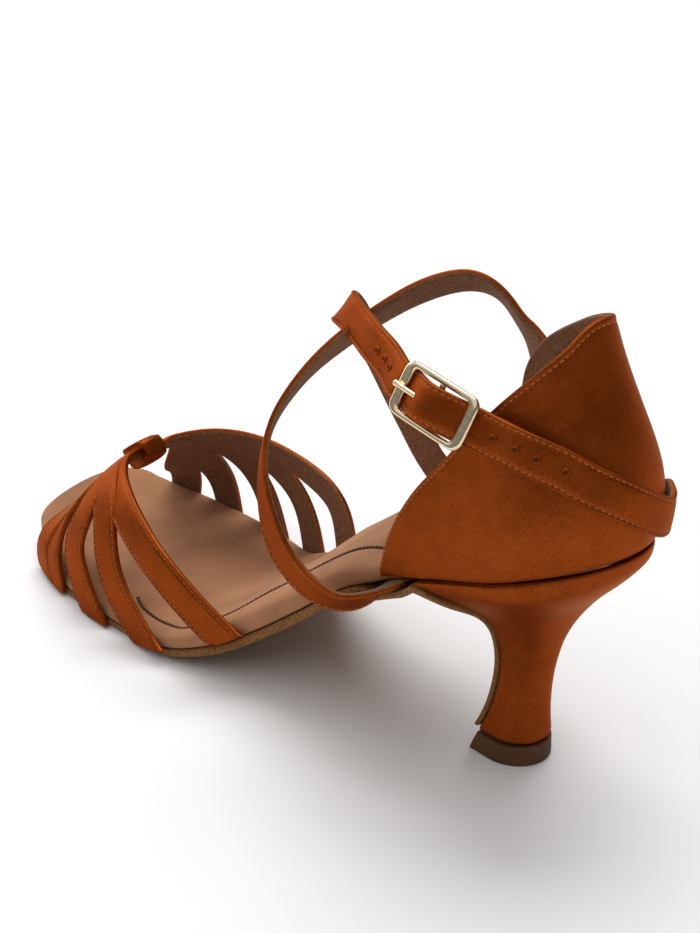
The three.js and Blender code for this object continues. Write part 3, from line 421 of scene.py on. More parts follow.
def outline(x, side):
    """How far out the sole's edge is at x, on the outer side (1) or the inner side (-1)."""
    if x < SEAT_ROUND:
        return side * SEAT_HALF_WIDTH * math.sqrt(max(0, 1 - (1 - x / SEAT_ROUND) ** 2))
    at = x / SOLE_LENGTH
    edge = sole_outer if side > 0 else sole_inner
    if at > TOE_START:
        tip = SOLE["outer"][-1]
        turn = math.sqrt(max(0, 1 - ((at - TOE_START) / (1 - TOE_START)) ** 2))
        return BALL_HALF_WIDTH * (tip + (edge(TOE_START) - tip) * turn)
    return BALL_HALF_WIDTH * edge(at)


def across_at(x):
    """Middle and half width of the sole at x."""
    outer, inner = outline(x, 1), outline(x, -1)
    return (outer + inner) / 2, (outer - inner) / 2


def rest_height(x, y):
    """Underside of the footbed; the inner side of the waist stands higher."""
    outer, inner = outline(x, 1), outline(x, -1)
    share = min(max((outer - y) / max(outer - inner, 1e-6), 0), 1)
    at = x / SOLE_LENGTH
    return SEAT_HEIGHT * sole_rest(at) + WAIST_RISE * sole_rise(at) * share


def footbed_thickness(x):
    """Thickness of the padded footbed at x."""
    at = x / SOLE_LENGTH
    plain = FOOTBED_SEAT if at < 0.4 else FOOTBED_BALL
    return mixed(plain, FOOTBED_WAIST, sole_waist(at))


def tunnel_drop(x):
    """How far the outsole drops for the strap between it and the footbed."""
    beyond = abs(x - TUNNEL_AT) - ANKLE_STRAP_WIDTH / 2 - 3 * GAP
    return (ANKLE_STRAP_THICKNESS + 2 * GAP) * eased(TUNNEL_RAMP - beyond, 0, TUNNEL_RAMP)


def spread(start, end, count):
    """Places from start to end, closer together at both ends."""
    return [mixed(start, end, (1 - math.cos(math.pi * i / count)) / 2) for i in range(count + 1)]


def inset_under_straps(x):
    """How far the sole stays in under the toe straps, so that they can come down over its edge."""
    return sole_inset(x / SOLE_LENGTH) * (TOE_STRAP_THICKNESS + GAP)


def footbed_inset(x):
    """How far the footbed stays in from the sole's edge, behind the counter and under the toe straps."""
    behind = 1 - eased(x, QUARTER_LENGTH, QUARTER_LENGTH + 4 * MM)
    return behind * (COUNTER_WALL + GAP) + inset_under_straps(x)


def footbed_half(x):
    """Half width of the footbed at x."""
    return max(0, across_at(x)[1] - footbed_inset(x))


def footbed_top(x, in_from_edge):
    """Height of the footbed's top above its underside, at a distance in from its edge."""
    half = footbed_half(x)
    thickness = footbed_thickness(x)
    roundness = max(min(half, thickness), 1e-5)
    depth = min(max(in_from_edge / roundness, 0), 1)
    curved = math.sqrt(max(0, 1 - (1 - depth) ** 2))
    return thickness * (FOOTBED_EDGE_SHARE + (1 - FOOTBED_EDGE_SHARE) * curved)


def seam_in(x):
    """How far in from the footbed's own edge the sock's seam runs at x."""
    return min(sock_seam(x / SOLE_LENGTH) * MM - footbed_inset(x) * 0.5, footbed_half(x) * 0.6)


def seam_share(x):
    """1 where the sock's seam is sewn, 0 before and after it."""
    at = x / SOLE_LENGTH
    return eased(at, 0.19, 0.21) * (1 - eased(at, 0.715, 0.725))


def base_along(around):
    """How far along the sole a place round the counter stands."""
    return QUARTER_LENGTH * (1 - math.cos(math.pi * abs(around))) / 2


def counter_point(around, height):
    """Point of the counter's outside; around is 1 at the outer front, -1 at the inner front."""
    base = base_along(around)
    up = height / COUNTER_HEIGHT
    side = 1 if around > 0 else -1
    y = 0 if around == 0 else outline(base, side) * counter_wide(up)
    x = base + COUNTER_HEIGHT * counter_lean(up) * (1 - base / QUARTER_LENGTH)
    return Vector((x, y, rest_height(base, 0) + height))


def counter_normal(around, height):
    """The way that the counter's outside faces."""
    rise = 0.3 * MM
    beside = counter_point(around + 0.004, height) - counter_point(around - 0.004, height)
    above = counter_point(around, height + rise) - counter_point(around, max(0, height - rise))
    return above.cross(beside).normalized()


def counter_off(around, height, distance):
    """Point at a distance off the counter's outside."""
    return counter_point(around, height) + counter_normal(around, height) * distance


def counter_top(around):
    """Height of the counter's top line at a place round it."""
    at = base_along(around) / QUARTER_LENGTH
    return COUNTER_HEIGHT * (top_outer(at) if around > 0 else top_inner(at))


def form_point(at, round_share):
    """Point of the foot's form; round_share is 0 at the sole's outer edge and 1 at its inner edge."""
    x = SOLE_LENGTH * at
    angle = math.pi * min(max(round_share, 0), 1)
    middle, half = across_at(x)
    reach = half - inset_under_straps(x) + GAP
    turn = math.cos(angle)
    y = middle + reach * math.copysign(abs(turn) ** FORM_SIDE_SHARE, turn)
    lift = max(math.sin(angle), 0) ** FORM_TOP_SHARE
    return Vector((x, y, rest_height(x, y) + FORM_HEIGHT * form_up(at) * lift))


def form_normal(at, round_share):
    """The way that the foot's form faces."""
    step = 0.003
    near = min(max(round_share, step * 4), 1 - step * 4)
    along = form_point(at + step, near) - form_point(at - step, near)
    across = form_point(at, near + step) - form_point(at, near - step)
    return across.cross(along).normalized()


def only(piece):
    """Selects one object and nothing else."""
    bpy.ops.object.select_all(action="DESELECT")
    piece.select_set(True)
    bpy.context.view_layer.objects.active = piece


def applied(piece, kind, **settings):
    """Adds a modifier with these settings and applies it."""
    only(piece)
    modifier = piece.modifiers.new(kind.title(), kind)
    for name, value in settings.items():
        setattr(modifier, name, value)
    bpy.ops.object.modifier_apply(modifier=modifier.name)


def subdivided(piece, levels=1):
    """Smooths a piece with an applied subdivision surface."""
    applied(piece, "SUBSURF", levels=levels, render_levels=levels)
    bpy.ops.object.shade_smooth()


def rounded(piece, width, segments):
    """Rounds a piece's sharp edges."""
    corner = math.radians(50)
    applied(piece, "BEVEL", width=width, segments=segments, limit_method="ANGLE", angle_limit=corner)


def lengths(points):
    """Length along a row of points, up to each of them."""
    total = [0.0]
    for a, b in zip(points, points[1:]):
        total.append(total[-1] + (b - a).length)
    return total


def skin(name, rings, material_of=None):
    """A grid is added, each of its points is put on the rings, and it is closed and turned outwards.

    The UV map holds millimetres round and along the piece.
    """
    rings = [ring + [ring[0]] for ring in rings]
    across, down = len(rings[0]) - 1, len(rings) - 1
    bpy.ops.object.select_all(action="DESELECT")
    bpy.ops.mesh.primitive_grid_add(x_subdivisions=across, y_subdivisions=down, size=1, calc_uvs=True)
    piece = bpy.context.object
    piece.name = name
    mesh = piece.data
    mesh.name = name
    middle = lengths([ring[across // 4] for ring in rings])
    around = [lengths(ring) for ring in rings]
    index = [(round((v.co.x + 0.5) * across), round((v.co.y + 0.5) * down)) for v in mesh.vertices]
    for vertex, (i, j) in zip(mesh.vertices, index):
        vertex.co = rings[j][i] + TO_FRAME
    uv = mesh.uv_layers[0].data
    for loop in mesh.loops:
        i, j = index[loop.vertex_index]
        uv[loop.index].uv = (around[j][i] / MM, middle[j] / MM)
    if material_of:
        for polygon in mesh.polygons:
            places = [index[v] for v in polygon.vertices]
            polygon.material_index = material_of(min(i for i, _ in places), min(j for _, j in places))
    bpy.ops.object.mode_set(mode="EDIT")
    bpy.ops.mesh.select_all(action="SELECT")
    bpy.ops.mesh.remove_doubles(threshold=2e-6)
    bpy.ops.mesh.select_all(action="DESELECT")
    bpy.ops.mesh.select_non_manifold(
        extend=False, use_multi_face=False, use_non_contiguous=False, use_verts=False
    )
    bpy.ops.mesh.fill_holes(sides=0)
    bpy.ops.mesh.select_all(action="SELECT")
    bpy.ops.mesh.normals_make_consistent(inside=False)
    bpy.ops.object.mode_set(mode="OBJECT")
    return piece


def refined(rings, times):
    """More rings, on smooth curves through those given."""
    count = (len(rings) - 1) * times
    lines = list(zip(*rings))
    return [[through(list(line), j / count) for line in lines] for j in range(count + 1)]


def dressed(piece, finishes, slot, *nodes):
    """Gives a piece its finishes and its place in the frame."""
    for kind in finishes:
        piece.data.materials.append(finish(kind))
    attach(piece, "root")
    if nodes:
        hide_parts(*nodes)


def joined(pieces, name):
    """Joins pieces into one object."""
    only(pieces[0])
    for piece in pieces[1:]:
        piece.select_set(True)
    bpy.ops.object.join()
    pieces[0].name = name
    pieces[0].data.name = name
    return pieces[0]


def band_section(width, thickness, seam):
    """Corners round a strap's cut: a crowned top between two grooves, rounded edges, a flat lining."""
    half, up = width / 2, thickness / 2
    side = [
        (half, -0.3 * up),
        (half, 0.3 * up),
        (half - 0.12 * MM, 0.75 * up),
        (half - 0.45 * MM, up),
        (half - seam + 0.3 * MM, 0.98 * up),
        (half - seam, 0.55 * up),
        (half - seam - 0.3 * MM, 0.98 * up),
        (half * 0.5, 1.1 * up),
        (half * 0.18, 1.15 * up),
    ]
    under = [(half * 0.5, -up), (half - 0.45 * MM, -up), (half - 0.12 * MM, -0.75 * up)]
    top = side + [(-out, rise) for out, rise in reversed(side)]
    bottom = [(-out, rise) for out, rise in reversed(under)] + [(0, -up)] + under
    return top + bottom


def travelled(stations):
    """For each (middle, face): its middle, and the ways along, across and out."""
    frames = []
    for i, (middle, face) in enumerate(stations):
        before = stations[max(0, i - 1)][0]
        after = stations[min(len(stations) - 1, i + 1)][0]
        along = (after - before).normalized()
        across = along.cross(face).normalized()
        frames.append((middle, along, across, across.cross(along).normalized()))
    return frames


def band_rings(frames, section, width_at=lambda i: 1.0, fold_at=lambda i, out: 0.0):
    """Rings of a strap: its section at each station, made narrower and folded where asked."""
    rings = []
    for i, (middle, _, across, out) in enumerate(frames):
        ring = []
        for side, rise in section:
            lift = rise + fold_at(i, side) * (1 if rise > 0 else 0.3)
            ring.append(middle + across * side * width_at(i) + out * lift)
        rings.append(ring)
    return rings


def satin_on_top(section):
    """The face rows of a strap that are satin: those of its top and edges."""
    lining_from = sum(1 for _, rise in section if rise > 0) + 1
    return lambda i, j: 1 if lining_from <= i < len(section) - 1 else 0


def toe_strap_stations(row, order):
    """Middle line of a toe strap and the way it faces; straps nearer the heel lie on those before them."""
    side, foot, low_at, low_round, high_at, high_round = row

    def climb(round_share):
        return (round_share if side > 0 else 1 - round_share) ** FORM_TOP_SHARE

    entry = KNOT_ROUND - side * KNOT_ENTRY
    path = [
        Vector((foot, 0, 0)),
        Vector((low_at, climb(low_round), 0)),
        Vector((high_at, climb(high_round), 0)),
        Vector((mixed(high_at, KNOT_AT, KNOT_ENTRY_AT), climb(entry), 0)),
        Vector((KNOT_AT, climb(KNOT_ROUND), 0)),
    ]
    middles, faces = [], []
    for i in range(STRAP_STEPS + 1):
        at, up, _ = through(path, i / STRAP_STEPS)
        round_share = max(0, up) ** (1 / FORM_TOP_SHARE)
        round_share = round_share if side > 0 else 1 - round_share
        middles.append(form_point(at, round_share))
        faces.append(form_normal(at, round_share))
    for _ in range(STRAP_EVENING):
        middles, faces = evened(middles), evened(faces)
    stations = []
    for i, (middle, face) in enumerate(zip(middles, faces)):
        face = face.normalized()
        share = i / STRAP_STEPS
        raised = order * STRAP_LIFT * MM * eased(share, 0.4, 0.7) * (1 - eased(share, 0.86, 0.98))
        stations.append((middle + face * (TOE_STRAP_THICKNESS / 2 + raised), face))
    return stations


def up_to(share):
    """Height for a share from 0 at the floor to 1 at the seat and 2 at the counter's top."""
    if share <= 1:
        return SEAT_HEIGHT * share
    return SEAT_HEIGHT + COUNTER_HEIGHT * (share - 1)


def place_of(along, out, up):
    """A point from its shares of the shoe's sizes."""
    return Vector((SOLE_LENGTH * along, BALL_HALF_WIDTH * out, up_to(up)))


def free_stations(rows):
    """Stations in the air."""
    return [(place_of(along, out, up), Vector(face).normalized()) for along, out, up, face in rows]


def counter_stations(rows):
    """Stations on the counter."""
    found = []
    for around, up, off in rows:
        height = up * COUNTER_HEIGHT
        found.append((counter_off(around, height, off), counter_normal(around, height)))
    return found


def tunnel_stations():
    """Stations under the footbed."""
    found = []
    for share in TUNNEL_SHARES:
        y = mixed(outline(TUNNEL_AT, -1), outline(TUNNEL_AT, 1), (share + 1) / 2)
        slope = (rest_height(TUNNEL_AT + MM, y) - rest_height(TUNNEL_AT - MM, y)) / (2 * MM)
        face = Vector((slope, 0, -1)).normalized()
        down = 1.5 * GAP + ANKLE_STRAP_THICKNESS / 2
        found.append((Vector((TUNNEL_AT, y, rest_height(TUNNEL_AT, y))) + face * down, face))
    return found


def buckle_axes():
    """The buckle's own axes: x to its front bar, z away from the foot."""
    along = BUCKLE_TOWARD.normalized()
    side = BUCKLE_FACE.cross(along).normalized()
    out = along.cross(side).normalized()
    turn = Matrix((along, side, out)).transposed().to_4x4()
    return Matrix.Translation(place_of(*BUCKLE_PLACE)) @ turn


TAB_TURN = math.hypot(CENTRE_BAR_RADIUS, BUCKLE_THICKNESS / 2) + GAP + TAB_THICKNESS / 2


def buckle_stations():
    """Stations under the front bar, over the middle bar and under the back bar."""
    axes = buckle_axes()
    under = -(BUCKLE_THICKNESS + ANKLE_STRAP_THICKNESS) / 2 - GAP
    over = TAB_TURN + (TAB_THICKNESS + ANKLE_STRAP_THICKNESS) / 2 + GAP
    face = (axes.to_3x3() @ Vector((0, 0, 1))).normalized()
    return [
        (axes @ Vector((toward * BUCKLE_LENGTH / 2, 0, over if is_over else under)), face)
        for toward, is_over in IN_BUCKLE
    ]


def evened(points):
    """Points drawn a little toward the middle of their neighbours; the two ends stay."""
    between = [(a + 2 * b + c) / 4 for a, b, c in zip(points, points[1:], points[2:])]
    return [points[0], *between, points[-1]]


def finer(stations, times):
    """More stations, on smooth curves through those given, with small kinks evened out."""
    count = (len(stations) - 1) * times
    middles = [through([m for m, _ in stations], i / count) for i in range(count + 1)]
    faces = [through([f for _, f in stations], i / count) for i in range(count + 1)]
    for _ in range(4):
        middles, faces = evened(middles), evened(faces)
    return [(middle, face.normalized()) for middle, face in zip(middles, faces)]


def ankle_stations():
    """The whole ankle strap, from its sewn end to its free end."""
    rows = counter_stations(SEWN_END) + free_stations(OVER_INSTEP) + tunnel_stations()
    rows += free_stations(TO_BUCKLE) + buckle_stations() + counter_stations(FREE_END)
    return finer(rows, 6)


def walked(frames, start, end, pitch):
    """Even steps along a strap: middle, along, across and out at each."""
    total = lengths([frame[0] for frame in frames])
    found = []
    place = start
    i = 0
    while place < total[-1] - end:
        while total[i + 1] < place:
            i += 1
        share = (place - total[i]) / max(total[i + 1] - total[i], 1e-9)
        found.append([a.lerp(b, share) for a, b in zip(frames[i], frames[i + 1])])
        place += pitch
    return found


def stitch_rows(frames, side, rise, start, end, pitch, width_at=lambda share: 1.0):
    """Stitches along a strap, at a distance to the side of its middle line."""
    steps = walked(frames, start, end, pitch)
    found = []
    for i, (middle, along, across, out) in enumerate(steps):
        narrow = width_at(i / max(len(steps) - 1, 1))
        found.append((middle + across * side * narrow + out * rise, along.normalized(), out.normalized()))
    return found


def sewn(name, spots, length, thread, kind, slot):
    """One stitch is modelled, and a copy of it is laid at each spot."""
    bpy.ops.object.select_all(action="DESELECT")
    bpy.ops.mesh.primitive_uv_sphere_add(segments=6, ring_count=5, radius=0.5)
    model = bpy.context.object
    bpy.ops.object.mode_set(mode="EDIT")
    bpy.ops.mesh.select_all(action="SELECT")
    bpy.ops.transform.resize(value=(length, thread, thread * 0.8))
    bpy.ops.object.mode_set(mode="OBJECT")
    shape = [vertex.co.copy() for vertex in model.data.vertices]
    faces = [list(polygon.vertices) for polygon in model.data.polygons]
    bpy.data.objects.remove(model)
    chance = random.Random(7)
    points, polygons = [], []
    for place, along, out in spots:
        lean = along + along.cross(out) * chance.uniform(-0.07, 0.07)
        lean = (lean - out * lean.dot(out)).normalized()
        turn = Matrix((lean, out.cross(lean), out)).transposed()
        start = len(points)
        points += [turn @ co + place + TO_FRAME for co in shape]
        polygons += [[start + v for v in face] for face in faces]
    mesh = bpy.data.meshes.new(name)
    mesh.from_pydata(points, [], polygons)
    mesh.validate()
    piece = bpy.data.objects.new(name, mesh)
    bpy.context.scene.collection.objects.link(piece)
    only(piece)
    bpy.ops.object.shade_smooth()
    dressed(piece, [kind], slot)


def stitched(name, spots, slot):
    """Sews the upper's stitches at each spot."""
    sizes = bpy.context.scene.sandal_sizes
    sewn(name, spots, sizes.stitch_length, sizes.stitch_thread, "thread", slot)


def noise(tree, coordinates, scale, detail=3.0, stretch=(1, 1, 1), rough=0.55):
    """A noise of a given fineness, read in Object coordinates or along the UV map."""
    source = tree.nodes.new("ShaderNodeTexCoord")
    mapping = tree.nodes.new("ShaderNodeMapping")
    mapping.inputs["Scale"].default_value = stretch
    tree.links.new(source.outputs[coordinates], mapping.inputs["Vector"])
    texture = tree.nodes.new("ShaderNodeTexNoise")
    texture.inputs["Scale"].default_value = scale
    texture.inputs["Detail"].default_value = detail
    texture.inputs["Roughness"].default_value = rough
    tree.links.new(mapping.outputs["Vector"], texture.inputs["Vector"])
    return texture.outputs["Fac"]


def ramp(tree, factor, stops):
    """A colour ramp over a factor; stops are (place, colour)."""
    node = tree.nodes.new("ShaderNodeValToRGB")
    elements = node.color_ramp.elements
    elements[0].position, elements[0].color = stops[0][0], (*stops[0][1], 1)
    elements[1].position, elements[1].color = stops[-1][0], (*stops[-1][1], 1)
    for place, colour in stops[1:-1]:
        elements.new(place).color = (*colour, 1)
    tree.links.new(factor, node.inputs["Fac"])
    return node.outputs["Color"]


def multiplied(tree, first, second):
    """Two colours multiplied."""
    node = tree.nodes.new("ShaderNodeMix")
    node.data_type = "RGBA"
    node.blend_type = "MULTIPLY"
    node.inputs["Factor"].default_value = 1.0
    tree.links.new(first, node.inputs["A"])
    tree.links.new(second, node.inputs["B"])
    return node.outputs["Result"]


def roughened(tree, shader, factor, low, high):
    """Varies the roughness between two values."""
    node = tree.nodes.new("ShaderNodeMapRange")
    node.inputs["To Min"].default_value = low
    node.inputs["To Max"].default_value = high
    tree.links.new(factor, node.inputs["Value"])
    tree.links.new(node.outputs["Result"], shader.inputs["Roughness"])


def bumped(tree, shader, layers):
    """Adds bumps; layers are (height, strength, distance in millimetres)."""
    before = None
    for height, strength, distance in layers:
        bump = tree.nodes.new("ShaderNodeBump")
        bump.inputs["Strength"].default_value = strength
        bump.inputs["Distance"].default_value = distance * MM
        tree.links.new(height, bump.inputs["Height"])
        if before:
            tree.links.new(before, bump.inputs["Normal"])
        before = bump.outputs["Normal"]
    if before:
        tree.links.new(before, shader.inputs["Normal"])


def shade(colour, factor):
    """A darker or lighter tone of a colour."""
    return tuple(min(channel * factor, 1) for channel in colour)


# The finishes: the shader's sockets, noises (coordinates, scale, detail, stretch and roughness), the tones of
# the colour over one noise, the range of the roughness over one, and bumps (noise, strength, millimetres)
FINISHES = {
    # Fine threads across, a soft coloured gloss and slight changes of tone
    "satin": {
        "sockets": {
            "Roughness": 0.4,
            "Metallic": 0.8,
            "Anisotropic": 0.4,
            "Specular Tint": (0.95, 0.5, 0.22, 1),
            "Specular IOR Level": 0.2,
        },
        "noises": {
            "clouds": ("Object", 110, 4),
            "grain": ("UV", 3.2, 2, (0.3, 1.7, 1)),
            "slubs": ("UV", 1.0, 2, (0.25, 2.5, 1)),
        },
        "tones": ("clouds", [(0.3, 0.78), (0.55, 1), (0.75, 1.15)]),
        "threads": ("grain", [(0.3, (0.5, 0.42, 0.36)), (0.56, (1, 1, 1))]),
        "rough": ("clouds", 0.33, 0.5),
        "bumps": [("grain", 0.8, 0.09), ("slubs", 0.35, 0.08)],
    },
    # A fine napped cloth
    "lining": {
        "sockets": {
            "Roughness": 0.85,
            "Sheen Weight": 0.08,
            "Sheen Roughness": 0.5,
            "Specular IOR Level": 0.15,
        },
        "noises": {"speckle": ("Object", 1500, 3)},
        "tones": ("speckle", [(0.35, 0.55), (0.6, 1), (0.72, 1.3)]),
        "rough": ("speckle", 0.75, 0.95),
        "bumps": [("speckle", 0.5, 0.12)],
    },
    # Brushed suede: mottled, with a soft nap
    "suede": {
        "sockets": {
            "Roughness": 0.92,
            "Sheen Weight": 0.15,
            "Sheen Roughness": 0.5,
            "Sheen Tint": (1.0, 0.8, 0.6, 1),
            "Specular IOR Level": 0.15,
        },
        "noises": {"patches": ("Object", 60, 4), "nap": ("Object", 1800, 3)},
        "tones": ("patches", [(0.3, 0.8), (0.52, 1), (0.75, 1.14)]),
        "rough": ("nap", 0.82, 1.0),
        "bumps": [("nap", 0.4, 0.12), ("patches", 0.2, 0.2)],
    },
    # Raw split suede with a fibrous, speckled face
    "raw_suede": {
        "sockets": {
            "Roughness": 0.98,
            "Sheen Weight": 0.08,
            "Sheen Roughness": 0.6,
            "Specular IOR Level": 0.1,
        },
        "noises": {"fibres": ("Object", 1600, 4, (1, 1, 1), 0.65)},
        "tones": ("fibres", [(0.34, 0.35), (0.5, 1), (0.68, 1.45)]),
        "rough": ("fibres", 0.85, 1.0),
        "bumps": [("fibres", 0.7, 0.2)],
    },
    # Sewing thread with a slight twist and sheen
    "thread": {
        "sockets": {"Roughness": 0.6, "Sheen Weight": 0.1, "Specular IOR Level": 0.15},
        "noises": {"twist": ("Object", 2500, 1)},
        "tones": ("twist", [(0.3, 0.7), (0.7, 1.15)]),
        "rough": ("twist", 0.5, 0.7),
        "bumps": [("twist", 0.5, 0.08)],
    },
    # Matte rubber with a fine grain
    "rubber": {
        "sockets": {"Roughness": 0.7, "Specular IOR Level": 0.25},
        "noises": {"grain": ("Object", 900, 3), "wear": ("Object", 180, 3)},
        "tones": ("wear", [(0.3, 0.82), (0.7, 1.12)]),
        "rough": ("grain", 0.58, 0.8),
        "bumps": [("grain", 0.35, 0.1)],
    },
    # Pale polished plating with faint handling marks
    "gold": {
        "sockets": {"Roughness": 0.16, "Metallic": 1.0},
        "noises": {"marks": ("Object", 420, 4, (1, 1, 2.5))},
        "tones": ("marks", [(0.35, 0.93), (0.65, 1)]),
        "rough": ("marks", 0.1, 0.24),
        "bumps": [("marks", 0.08, 0.05)],
    },
    # Plain pale studio floor
    "floor": {
        "sockets": {"Roughness": 0.85},
        "noises": {"grain": ("Object", 8, 3)},
        "tones": ("grain", [(0.3, 0.985), (0.7, 1)]),
        "rough": ("grain", 0.8, 0.9),
        "bumps": [],
    },
}
FINISHES["sock_thread"] = FINISHES["thread"]


def finish(kind):
    """The material of a kind, made once from its colour in the panel."""
    material = bpy.data.materials.get(kind)
    if material:
        return material
    recipe = FINISHES[kind]
    colour = tuple(getattr(bpy.context.scene.sandal_colours, kind))
    material = bpy.data.materials.new(kind)
    material.use_nodes = True
    tree = material.node_tree
    shader = tree.nodes["Principled BSDF"]
    shader.inputs["Base Color"].default_value = (*colour, 1)
    for socket, value in recipe["sockets"].items():
        shader.inputs[socket].default_value = value
    noises = {name: noise(tree, *settings) for name, settings in recipe["noises"].items()}
    over, stops = recipe["tones"]
    tones = ramp(tree, noises[over], [(place, shade(colour, tone)) for place, tone in stops])
    if "threads" in recipe:
        over, stops = recipe["threads"]
        tones = multiplied(tree, tones, ramp(tree, noises[over], stops))
    tree.links.new(tones, shader.inputs["Base Color"])
    over, low, high = recipe["rough"]
    roughened(tree, shader, noises[over], low, high)
    bumped(tree, shader, [(noises[name], strength, distance) for name, strength, distance in recipe["bumps"]])
    return material


def length_of(label, text, value):
    """A length that a user may change."""
    return bpy.props.FloatProperty(
        name=label, description=text, default=value, min=0, unit="LENGTH", precision=5
    )


def colour_of(label, text, value):
    """A colour that a user may change."""
    return bpy.props.FloatVectorProperty(
        name=label, description=text, default=value, min=0, max=1, size=3, subtype="COLOR"
    )


class SandalSizes(bpy.types.PropertyGroup):
    """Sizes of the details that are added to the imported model."""

    seam: length_of("Seam inset", "Distance of the straps' stitching from their edges", 0.001)
    top_seam: length_of("Top seam inset", "Distance of the counter's stitching from its top line", 0.0016)
    stitch_pitch: length_of("Stitch pitch", "Distance from one stitch to the next", 0.0017)
    stitch_length: length_of("Stitch length", "Length of one stitch", 0.0012)
    stitch_thread: length_of("Thread", "Thickness of the sewing thread", 0.0003)
    sock_pitch: length_of("Sock stitch pitch", "Distance from one sock stitch to the next", 0.0017)
    sock_groove: length_of("Sock groove", "How deep the sock's seam is pulled in", 0.0006)
    edge_round: length_of("Edge rounding", "Rounding of the counter's and the heel's edges", 0.0009)
    hole: length_of("Hole radius", "Radius of the punched holes in the ankle strap", 0.00085)
    buckle_round: length_of("Buckle rounding", "Rounding of the buckle's bars", 0.0008)


class SandalColours(bpy.types.PropertyGroup):
    """Colours of the sandal's finishes."""

    satin: colour_of("Satin", "Satin of the straps, the counter and the heel", (0.31, 0.06, 0.008))
    lining: colour_of("Lining", "Lining of the straps and the counter", (0.28, 0.13, 0.062))
    suede: colour_of("Footbed suede", "Brushed suede of the footbed", (0.38, 0.175, 0.085))
    raw_suede: colour_of("Outsole suede", "Raw suede of the outsole", (0.24, 0.105, 0.03))
    thread: colour_of("Thread", "Stitching of the straps", (0.55, 0.2, 0.08))
    sock_thread: colour_of("Sock thread", "Stitching of the sock", (0.09, 0.028, 0.011))
    rubber: colour_of("Heel tip", "Rubber of the heel tip", (0.1, 0.045, 0.016))
    gold: colour_of("Buckle", "Gold plating of the buckle", (0.86, 0.7, 0.46))
    floor: colour_of("Floor", "Studio floor", (0.9, 0.9, 0.9))


class SANDAL_OT_stage(bpy.types.Operator):
    """Makes the floor, the soft lights and the camera"""

    bl_idname = "sandal.stage"
    bl_label = "Stage"

    def execute(self, context):
        bpy.ops.object.select_all(action="DESELECT")
        bpy.ops.mesh.primitive_plane_add(size=FLOOR_SIZE)
        floor = context.object
        floor.name = "studio_floor"
        floor.data.materials.append(finish("floor"))
        world = bpy.data.worlds.new("studio")
        context.scene.world = world
        world.use_nodes = True
        background = world.node_tree.nodes["Background"]
        background.inputs["Color"].default_value = (1, 1, 1, 1)
        background.inputs["Strength"].default_value = WORLD_STRENGTH
        soft_sun("key_sun", toward=(0.35, -0.5, 1.0), softness=45, strength=1.8)
        soft_sun("top_sun", toward=(0.2, 0.2, 1.0), softness=110, strength=1.25)
        soft_light("toe_light", place=(0.95, 0.0, 0.42), size=0.7, power=3.2)
        toward = Vector(
            (
                -math.sin(CAMERA_AZIMUTH) * math.cos(CAMERA_ELEVATION),
                math.cos(CAMERA_AZIMUTH) * math.cos(CAMERA_ELEVATION),
                math.sin(CAMERA_ELEVATION),
            )
        )
        right = (-toward).cross(Vector((0, 0, 1))).normalized()
        up = right.cross(-toward)
        turn = Matrix((right, up, toward)).transposed().to_4x4() @ Matrix.Rotation(CAMERA_ROLL, 4, "Z")
        lens = bpy.data.cameras.new("photo_camera")
        lens.sensor_fit = "VERTICAL"
        lens.sensor_height = 36
        lens.lens = CAMERA_LENS
        lens.clip_start = 0.01
        camera = bpy.data.objects.new("photo_camera", lens)
        context.scene.collection.objects.link(camera)
        camera.matrix_world = Matrix.Translation(CAMERA_TARGET + toward * CAMERA_DISTANCE) @ turn
        context.scene.camera = camera
        context.scene.view_settings.view_transform = "Standard"
        return {"FINISHED"}


def soft_light(name, place, size, power):
    """A square soft light that looks at the shoe."""
    light = bpy.data.lights.new(name, "AREA")
    light.size = size
    light.energy = power
    lamp = bpy.data.objects.new(name, light)
    bpy.context.scene.collection.objects.link(lamp)
    lamp.location = place
    lamp.rotation_mode = "QUATERNION"
    lamp.rotation_quaternion = (Vector((0, 0, 0.05)) - Vector(place)).to_track_quat("-Z", "Y")


def soft_sun(name, toward, softness, strength):
    """A wide soft light from far away, so that the whole floor is lit alike."""
    light = bpy.data.lights.new(name, "SUN")
    light.angle = math.radians(softness)
    light.energy = strength
    lamp = bpy.data.objects.new(name, light)
    bpy.context.scene.collection.objects.link(lamp)
    lamp.rotation_mode = "QUATERNION"
    lamp.rotation_quaternion = (-Vector(toward)).to_track_quat("-Z", "Y")


